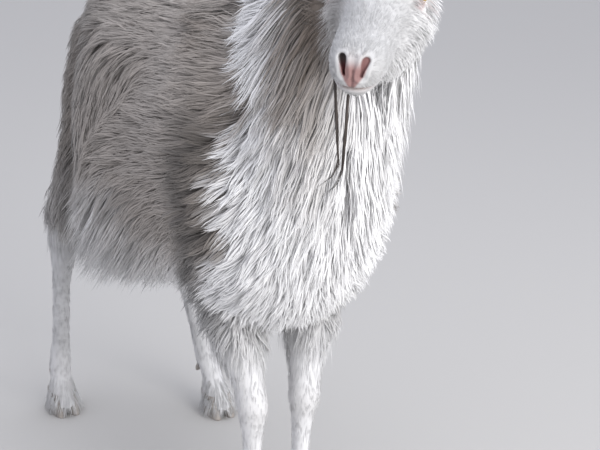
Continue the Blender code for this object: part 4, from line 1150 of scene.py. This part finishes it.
# Long coat: piece, slot, clumps, tufts, rings of a tuft, share of the full width, gathering, wave, hang
LONG_COAT = (("neck", "white_coat", 380, 6600, 5, 0.92, 0.52, 0.0028, 0.05),
             ("chest", "white_coat", 260, 6300, 5, 0.92, 0.52, 0.0028, 0.05),
             ("flank", "grey_coat", 560, 8000, 4, 0.85, 0.50, 0.0016, 0.02),
             ("rump", "grey_coat", 760, 10000, 4, 0.85, 0.50, 0.0016, 0.02))
# Short coat: piece, clumps, tufts, share of the full width, gathering
SHORT_COAT = (("legs", 4000, 10000, 0.36, 0.1), ("face", 3600, 10000, 0.34, 0.2),
              ("ears", 700, 2400, 0.40, 0.3))
SHORT_RINGS, SHORT_WAVE, SHORT_HOLD = 4, 0.0004, 0.5
TAIL_CLUMPS, TAIL_TUFTS, TAIL_RINGS = 40, 900, 6
# Start of each group's draws, counted from the seed
RIGHT_DRAWS, TAIL_DRAWS, SHORT_DRAWS, BEARD_DRAWS = 50, 90, 200, 300


class GOAT_OT_long_coat(bpy.types.Operator):
    """Comb the long coat over neck, chest, flanks, rump and tail"""
    bl_idname = "goat.long_coat"
    bl_label = "Long coat"

    def execute(self, context):
        settings = context.scene.goat_coat
        data = skin_search(bpy.data.objects["skin"])
        for side, sign, first in (("left", 1, 0), ("right", -1, RIGHT_DRAWS)):
            for k, (name, slot, clumps, count, rings, width, gather, wave, hang) in enumerate(LONG_COAT):
                tufts(f"coat_{name}_{side}", data, region(name, sign),
                      np.random.default_rng(settings.seed + first + k), clumps, count, rings,
                      settings.width * width, gather, wave, hang=hang)
        tufts("coat_tail", data, region("tail"), np.random.default_rng(settings.seed + TAIL_DRAWS),
              TAIL_CLUMPS, TAIL_TUFTS, TAIL_RINGS, settings.width)
        return {"FINISHED"}


class GOAT_OT_short_coat(bpy.types.Operator):
    """Comb the short coat of legs, face and ears"""
    bl_idname = "goat.short_coat"
    bl_label = "Short coat"

    def execute(self, context):
        settings = context.scene.goat_coat
        data = skin_search(bpy.data.objects["skin"])
        for k, (name, clumps, count, width, gather) in enumerate(SHORT_COAT):
            tufts(f"coat_{name}", data, region(name), np.random.default_rng(settings.seed + SHORT_DRAWS + k),
                  clumps, count, SHORT_RINGS, settings.width * width, gather, SHORT_WAVE, SHORT_HOLD)
        return {"FINISHED"}


# Beard: each strand's place across and behind the nose, and its length; then its root and where strands meet
BEARD_STRANDS, BEARD_HAIRS, BEARD_RINGS = ((-0.0230, 0.030, 0.128), (-0.0085, 0.029, 0.142)), 22, 10
BEARD_ROOT_HEIGHT, BEARD_MEET, BEARD_MEET_DOWN = -0.008, -0.0165, 0.120
BEARD_CURL, BEARD_CURL_FROM, BEARD_WAVE, BEARD_SPREAD = 0.25, 0.78, 0.0012, 0.0007
BEARD_HALF = (0.0004, 0.0007)


class GOAT_OT_beard(bpy.types.Operator):
    """Hang the thin wet beard from the chin"""
    bl_idname = "goat.beard"
    bl_label = "Beard"

    def execute(self, context):
        draw = np.random.default_rng(context.scene.goat_coat.seed + BEARD_DRAWS)
        share = np.linspace(0, 1, BEARD_RINGS)
        aside, ahead = HEAD_AXES[:, 0], -HEAD_AXES[:, 1]
        spread = 1 - 0.70 * share ** 0.6
        lines = []
        for left, back, length in BEARD_STRANDS:
            root = np.array(HEAD_PLACE @ Vector((left, back, BEARD_ROOT_HEIGHT)))
            for _ in range(BEARD_HAIRS):
                down = share * length * draw.uniform(0.55, 1.03)
                meet = (BEARD_MEET - left) * np.minimum(down / BEARD_MEET_DOWN, 1.0) ** 1.5
                curl = BEARD_CURL * np.maximum(down / length - BEARD_CURL_FROM, 0) ** 1.5
                around = draw.normal(0, 1, 2) * BEARD_SPREAD
                wave = BEARD_WAVE * np.sin(share * 9 + draw.uniform(0, 6.2)) * share
                lines.append(root + column(down) * DOWN + column(around[1] * spread) * ahead
                             + column(meet - curl + wave + around[0] * spread) * aside)
        lines = np.array(lines)
        way = unit(np.gradient(lines, axis=1))
        across = unit(np.cross(way, ahead))
        out = unit(np.cross(across, way))
        taper = np.interp(share, (0, 0.3, 0.8, 1.0), (1.0, 0.9, 0.55, 0.0))[None]
        half = column(draw.uniform(*BEARD_HALF, len(lines))) * taper
        shade = column(draw.normal(1.0, 0.15, len(lines))) * (0.90 - 0.30 * share)[None]
        colours = np.clip(np.array(context.scene.goat_markings.beard) * shade[..., None], 0, 1)
        piece = tuft_mesh("beard", lines, across, out, half, half * 0.9, colours, skin_spread(lines[:, 0]))
        dress(piece, coat_material(wet=True))
        return {"FINISHED"}


# Eyes and feet

class GOAT_OT_eyes(bpy.types.Operator):
    """Set the eyes"""
    bl_idname = "goat.eyes"
    bl_label = "Eyes"

    def execute(self, context):
        for name, side in (("left", 1), ("right", -1)):
            deselect()
            bpy.ops.mesh.primitive_uv_sphere_add(segments=48, ring_count=32, radius=EYE_RADIUS)
            eye = bpy.context.object
            eye.name = eye.data.name = f"eyeball_{name}"
            settle(eye)
            for vertex in eye.data.vertices:
                bulge = max(0.0, vertex.co.x * side / EYE_RADIUS - CORNEA_FROM) / (1 - CORNEA_FROM)
                vertex.co.x += side * CORNEA_BULGE * min(bulge, 1.0)
            eye.data.transform(HEAD_PLACE @ Matrix.Translation(sided(EYE_PLACE, side)))
            eye.matrix_world = Matrix.Identity(4)
            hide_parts(f"eye_{name}")
            dress(eye, eye_material(side))
        return {"FINISHED"}


def claw(name, centre, side):
    """One half of a cloven hoof: flat sole, sloping toe, rounded edges."""
    rings = []
    middle = centre.x + side * (CLAW_WIDTH + CLAW_GAP) / 2
    for height, scale, back in CLAW_LEVELS:
        section = []
        for turn in (math.tau * i / 28 for i in range(28)):
            reach = abs(math.cos(turn)) ** 0.7 * math.copysign(1, math.cos(turn))
            narrow = 1 - TOE_NARROW * max(0.0, -math.sin(turn)) ** 2
            x = reach * CLAW_WIDTH / 2 * (0.5 + scale / 2) * narrow
            y = centre.y + back + math.sin(turn) * CLAW_LENGTH / 2 * scale
            section.append(Vector((middle + x, y, height)) + SHIFT)
        rings.append(section)
    return loft(name, rings)


class GOAT_OT_feet(bpy.types.Operator):
    """Make the cloven hooves and dewclaws"""
    bl_idname = "goat.feet"
    bl_label = "Hooves"

    def execute(self, context):
        horn = horn_material()
        names = ("forehoof_left", "forehoof_right", "hindhoof_left", "hindhoof_right")
        for name, rows, turn in zip(names, LEGS, (1, -1, 1, -1)):
            foot = rows[-1]
            for place, sign in (("outer", 1), ("inner", -1)):
                centre = Vector((foot[0], foot[1] - CLAW_FORWARD, 0.0))
                piece = claw(f"{name}_{place}_horn", centre, sign * turn)
                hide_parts(f"{name}_{place}")
                dress(piece, horn)
        claws = []
        for rows in LEGS:
            fetlock = min(rows, key=lambda row: abs(row[2] - DEWCLAW_HEIGHT))
            for side in (-1, 1):
                behind = fetlock[1] + fetlock[4] * 0.55
                base = Vector((fetlock[0] + side * DEWCLAW_SPREAD, behind, DEWCLAW_HEIGHT))
                tip = base + sided(DEWCLAW_TIP, side)
                lines = [(*base.lerp(tip, share), DEWCLAW_RADIUS * wide, DEWCLAW_RADIUS * deep)
                         for share, wide, deep in DEWCLAW_LEVELS]
                claws.append(loft("dewclaws", path_rings(finer(lines, 3), 16)))
        piece = join(claws)
        piece.name = piece.data.name = "dewclaws"
        dress(piece, horn)
        return {"FINISHED"}


# Materials

def tree_of(made):
    """A material's node tree and its shader."""
    made.use_nodes = True
    return made.node_tree, made.node_tree.nodes["Principled BSDF"]


def fill(made, values):
    """Set the values of a node's inputs, by their names or numbers."""
    for key, value in values.items():
        made.inputs[key].default_value = value
    return made


def node(tree, kind, values=None, **settings):
    """A new node with its settings and the values of its inputs."""
    made = tree.nodes.new("ShaderNode" + kind)
    for key, value in settings.items():
        setattr(made, key, value)
    return fill(made, values or {})


def wire(tree, *rows):
    """Link nodes: rows of giver, its output, taker, its input."""
    for giver, output, taker, socket in rows:
        tree.links.new(giver.outputs[output], taker.inputs[socket])


def hair_bump_group():
    """Node group: fine uneven hair, as a height and as a light and dark factor, from object coordinates."""
    if "Hair grain" in bpy.data.node_groups:
        return bpy.data.node_groups["Hair grain"]
    group = bpy.data.node_groups.new("Hair grain", "ShaderNodeTree")
    group.interface.new_socket("Scale", in_out="INPUT", socket_type="NodeSocketFloat").default_value = 300.0
    for name in ("Height", "Factor"):
        group.interface.new_socket(name, in_out="OUTPUT", socket_type="NodeSocketFloat")
    start, end = group.nodes.new("NodeGroupInput"), group.nodes.new("NodeGroupOutput")
    place = node(group, "TexCoord")
    stretch = node(group, "Mapping", {"Scale": (1.0, 1.0, 0.22)})
    fine = node(group, "TexNoise", {"Detail": 3.0})
    wide = node(group, "TexNoise", {"Scale": 38.0, "Detail": 3.0})
    wire(group, (place, "Object", stretch, "Vector"), (stretch, "Vector", fine, "Vector"),
         (start, "Scale", fine, "Scale"), (place, "Object", wide, "Vector"),
         (fine, "Fac", end, "Height"), (wide, "Fac", end, "Factor"))
    return group


def tone_shader(name, roughness, grain_scale, grain_depth, contrast, shine=0.3, sheen=0.1):
    """A material whose colour is the piece's own tone, broken up by the hair grain."""
    if name in bpy.data.materials:
        return bpy.data.materials[name]
    tree, shader = tree_of(bpy.data.materials.new(name))
    tone = node(tree, "Attribute", attribute_name=TONE)
    grain = node(tree, "Group", {"Scale": grain_scale}, node_tree=hair_bump_group())
    span = node(tree, "MapRange", {"From Min": 0.3, "From Max": 0.7, "To Min": 1 - contrast,
                                   "To Max": 1 + contrast * 0.4})
    lit = node(tree, "VectorMath", operation="SCALE")
    bump = node(tree, "Bump", {"Strength": 0.5, "Distance": grain_depth})
    wire(tree, (tone, "Color", lit, 0), (grain, "Factor", span, "Value"), (span, "Result", lit, "Scale"),
         (lit, "Vector", shader, "Base Color"), (grain, "Height", bump, "Height"),
         (bump, "Normal", shader, "Normal"))
    fill(shader, {"Roughness": roughness, "Specular IOR Level": shine, "Sheen Weight": sheen,
                  "Sheen Roughness": 0.5})
    return bpy.data.materials[name]


def skin_material():
    """Skin with short flat hair, bare at the nose."""
    return tone_shader("Short flat hair", 0.62, 420.0, 0.0008, 0.08)


def coat_material(wet=False):
    """Hair of the tufts, or of the wet beard."""
    if wet:
        return tone_shader("Wet beard hair", 0.32, 500.0, 0.0003, 0.15)
    return tone_shader("Combed hair", 0.80, 500.0, 0.0002, 0.08, 0.15, 0.4)


def horn_material():
    """Dull hoof horn with growth rings and worn, dusty patches."""
    made = bpy.data.materials.new("Hoof horn")
    tree, shader = tree_of(made)
    place = node(tree, "TexCoord")
    rings = node(tree, "TexWave", {"Scale": 60.0, "Distortion": 3.0, "Detail": 3.0}, bands_direction="Z")
    patches = node(tree, "TexNoise", {"Scale": 55.0, "Detail": 6.0})
    colours = node(tree, "ValToRGB")
    dark, light = colours.color_ramp.elements
    dark.position, dark.color = 0.35, (0.21, 0.185, 0.165, 1.0)
    light.position, light.color = 0.70, (0.44, 0.405, 0.37, 1.0)
    bump = node(tree, "Bump", {"Strength": 0.45, "Distance": 0.0006})
    wire(tree, (place, "Object", rings, "Vector"), (place, "Object", patches, "Vector"),
         (patches, "Fac", colours, "Fac"), (colours, "Color", shader, "Base Color"),
         (rings, "Fac", bump, "Height"), (bump, "Normal", shader, "Normal"))
    fill(shader, {"Roughness": 0.58})
    return made


def eye_material(side):
    """Amber iris with a level slot pupil and a dark rim, under a wet surface."""
    made = bpy.data.materials.new(f"Eye {'left' if side > 0 else 'right'}")
    tree, shader = tree_of(made)
    place = node(tree, "TexCoord")
    turn = node(tree, "Mapping", {"Location": HEAD_PLACE @ sided(EYE_PLACE, side),
                                  "Rotation": HEAD_PLACE.to_euler()}, vector_type="TEXTURE")
    split = node(tree, "SeparateXYZ")
    wire(tree, (place, "Object", turn, "Vector"), (turn, "Vector", split, "Vector"))

    def number(operation, *values):
        made_node = node(tree, "Math", operation=operation)
        for socket, value in zip(made_node.inputs, values):
            if isinstance(value, (int, float)):
                socket.default_value = value
            else:
                tree.links.new(value, socket)
        return made_node.outputs[0]

    y, z = split.outputs["Y"], split.outputs["Z"]
    radius = number("SQRT", number("ADD", number("MULTIPLY", y, y), number("MULTIPLY", z, z)))
    slot = number("MAXIMUM", number("MULTIPLY", number("ABSOLUTE", y), 1.0 / PUPIL_HALF[0]),
                  number("MULTIPLY", number("ABSOLUTE", z), 1.0 / PUPIL_HALF[1]))
    iris = node(tree, "ValToRGB")
    inner, outer = iris.color_ramp.elements
    inner.position, inner.color = 0.30, (0.50, 0.33, 0.10, 1)
    outer.position, outer.color = 0.62, (0.30, 0.17, 0.045, 1)
    iris.color_ramp.elements.new(0.72).color = (0.035, 0.022, 0.014, 1)
    tree.links.new(number("MULTIPLY", radius, 1.0 / EYE_RADIUS), iris.inputs["Fac"])
    pupil = node(tree, "Mix", data_type="RGBA")
    dark, light, result = pupil.inputs[6], pupil.inputs[7], pupil.outputs[2]
    dark.default_value = (0.004, 0.004, 0.005, 1)
    tree.links.new(number("GREATER_THAN", slot, 1.0), pupil.inputs[0])
    tree.links.new(iris.outputs["Color"], light)
    tree.links.new(result, shader.inputs["Base Color"])
    fill(shader, {"Roughness": 0.10, "Coat Weight": 1.0, "Coat Roughness": 0.03})
    return made


# Stage

FLOOR_SIDE, SKY, LIT_PLACE = 16.0, (0.89, 0.91, 1.0, 1.0), Vector((0.0, -0.15, 0.5))
# Lights: name, place, size, share of the key's power, colour
LIGHTS = (("key", Vector((0.50, -2.7, 1.35)), 2.0, 1.0, (1.0, 0.99, 0.97)),
          ("top", Vector((0.2, 0.2, 3.2)), 2.6, 0.30, (0.95, 0.97, 1.0)))


def set_up(scene, name, data, place, way):
    """Put a light or the camera at its place, looking its way."""
    made = bpy.data.objects.new(name, data)
    scene.collection.objects.link(made)
    made.location = place
    made.rotation_euler = way.to_track_quat("-Z", "Y").to_euler()
    return made


class GOAT_OT_stage(bpy.types.Operator):
    """Set the floor, the soft light and the camera"""
    bl_idname = "goat.stage"
    bl_label = "Stage"

    def execute(self, context):
        scene = context.scene
        looks = scene.goat_stage
        deselect()
        bpy.ops.mesh.primitive_plane_add(size=FLOOR_SIDE)
        floor = context.object
        floor.name = "floor"
        pale = bpy.data.materials.new("Pale floor")
        fill(tree_of(pale)[1], {"Base Color": (*looks.floor, 1.0), "Roughness": 0.85})
        floor.data.materials.append(pale)
        world = scene.world or bpy.data.worlds.new("Studio")
        scene.world = world
        world.use_nodes = True
        fill(world.node_tree.nodes["Background"], {"Color": SKY, "Strength": looks.fill})
        for name, place, size, share, colour in LIGHTS:
            light = bpy.data.lights.new(name, "AREA")
            light.shape, light.size, light.energy, light.color = "DISK", size, looks.key * share, colour
            set_up(scene, name, light, place, LIT_PLACE - place)
        lens = bpy.data.cameras.new("photo")
        lens.sensor_width = SENSOR
        lens.lens = FOCAL_PIXELS / FRAME_WIDTH * SENSOR
        level = math.cos(CAMERA_TILT)
        way = Vector((-math.sin(CAMERA_TURN) * level, math.cos(CAMERA_TURN) * level, -math.sin(CAMERA_TILT)))
        scene.camera = set_up(scene, "photo", lens, CAMERA_PLACE + SHIFT, way)
        scene.view_settings.view_transform = "Standard"
        return {"FINISHED"}


class GoatMarkings(bpy.types.PropertyGroup):
    """Colours of the coat and skin"""
    white: FloatVectorProperty(name="White", description="Chest, neck, face and legs", subtype="COLOR",
                               size=3, default=(0.935, 0.93, 0.935))
    # Grey of flanks, back and rump: partly the coat's own colour, partly painted shade of the side turned
    # from the light
    grey: FloatVectorProperty(name="Grey", description="Flanks, back and rump", subtype="COLOR", size=3,
                              default=(0.362, 0.323, 0.292))
    # Brown of dust and stains, also used for painted shade on throat, right cheek and rump
    dirt_and_shade: FloatVectorProperty(name="Dirt", description="Dust and stains", subtype="COLOR", size=3,
                              default=(0.265, 0.218, 0.182))
    nose_pink: FloatVectorProperty(name="Nose", description="Bare skin of nose and lips", subtype="COLOR",
                                   size=3, default=(0.275, 0.160, 0.152))
    beard: FloatVectorProperty(name="Beard", description="Wet beard", subtype="COLOR", size=3,
                               default=(0.075, 0.060, 0.052))


class GoatCoat(bpy.types.PropertyGroup):
    """Sizes of the coat"""
    length: FloatProperty(name="Length", description="Share of the coat's full length", default=1.0,
                          min=0.3, max=1.3)
    width: FloatProperty(name="Tuft width", description="Widest part of a long tuft", default=0.0019,
                         min=0.001, max=0.01, unit="LENGTH")
    wave: FloatProperty(name="Wave", description="Share of the full waviness", default=1.0, min=0.0, max=3.0)
    wave_length: FloatProperty(name="Wave length", description="Length of one wave", default=0.075, min=0.01,
                               max=0.2, unit="LENGTH")
    density: FloatProperty(name="Density", description="Share of the full number of tufts", default=1.0,
                           min=0.05, max=1.2)
    seed: IntProperty(name="Seed", description="Start of the random draws", default=11)


class GoatStage(bpy.types.PropertyGroup):
    """Studio round the goat"""
    floor: FloatVectorProperty(name="Floor", description="Colour of the floor", subtype="COLOR", size=3,
                               default=(0.50, 0.49, 0.475))
    key: FloatProperty(name="Key light", description="Power of the soft light in front", default=69.0,
                       min=0.0)
    fill: FloatProperty(name="Fill light", description="Strength of the light all round", default=0.98,
                        min=0.0)


class GOAT_PT_panel(bpy.types.Panel):
    """Goat's pieces and settings"""
    bl_idname = "GOAT_PT_panel"
    bl_label = "Saanen goat"
    bl_space_type = "VIEW_3D"
    bl_region_type = "UI"
    bl_category = "Goat"

    def draw(self, context):
        for settings in (context.scene.goat_markings, context.scene.goat_coat, context.scene.goat_stage):
            for key in settings.__annotations__:
                self.layout.prop(settings, key)
        for operator in OPERATORS:
            self.layout.operator(operator.bl_idname)


OPERATORS = (GOAT_OT_stage, GOAT_OT_skin, GOAT_OT_eyes, GOAT_OT_feet, GOAT_OT_long_coat, GOAT_OT_short_coat,
             GOAT_OT_beard)
GROUPS = {"goat_markings": GoatMarkings, "goat_coat": GoatCoat, "goat_stage": GoatStage}


def register():
    """Register the settings, operators and panel."""
    for key, group in GROUPS.items():
        bpy.utils.register_class(group)
        setattr(bpy.types.Scene, key, PointerProperty(type=group))
    for operator in OPERATORS:
        bpy.utils.register_class(operator)
    bpy.utils.register_class(GOAT_PT_panel)


def unregister():
    """Take the settings, operators and panel away."""
    bpy.utils.unregister_class(GOAT_PT_panel)
    for operator in OPERATORS:
        bpy.utils.unregister_class(operator)
    for key, group in GROUPS.items():
        delattr(bpy.types.Scene, key)
        bpy.utils.unregister_class(group)


def main():
    """Build every piece in order."""
    register()
    bpy.ops.goat.stage()
    bpy.ops.goat.skin()
    bpy.ops.goat.eyes()
    bpy.ops.goat.feet()
    bpy.ops.goat.long_coat()
    bpy.ops.goat.short_coat()
    bpy.ops.goat.beard()


if __name__ == "__main__":
    main()
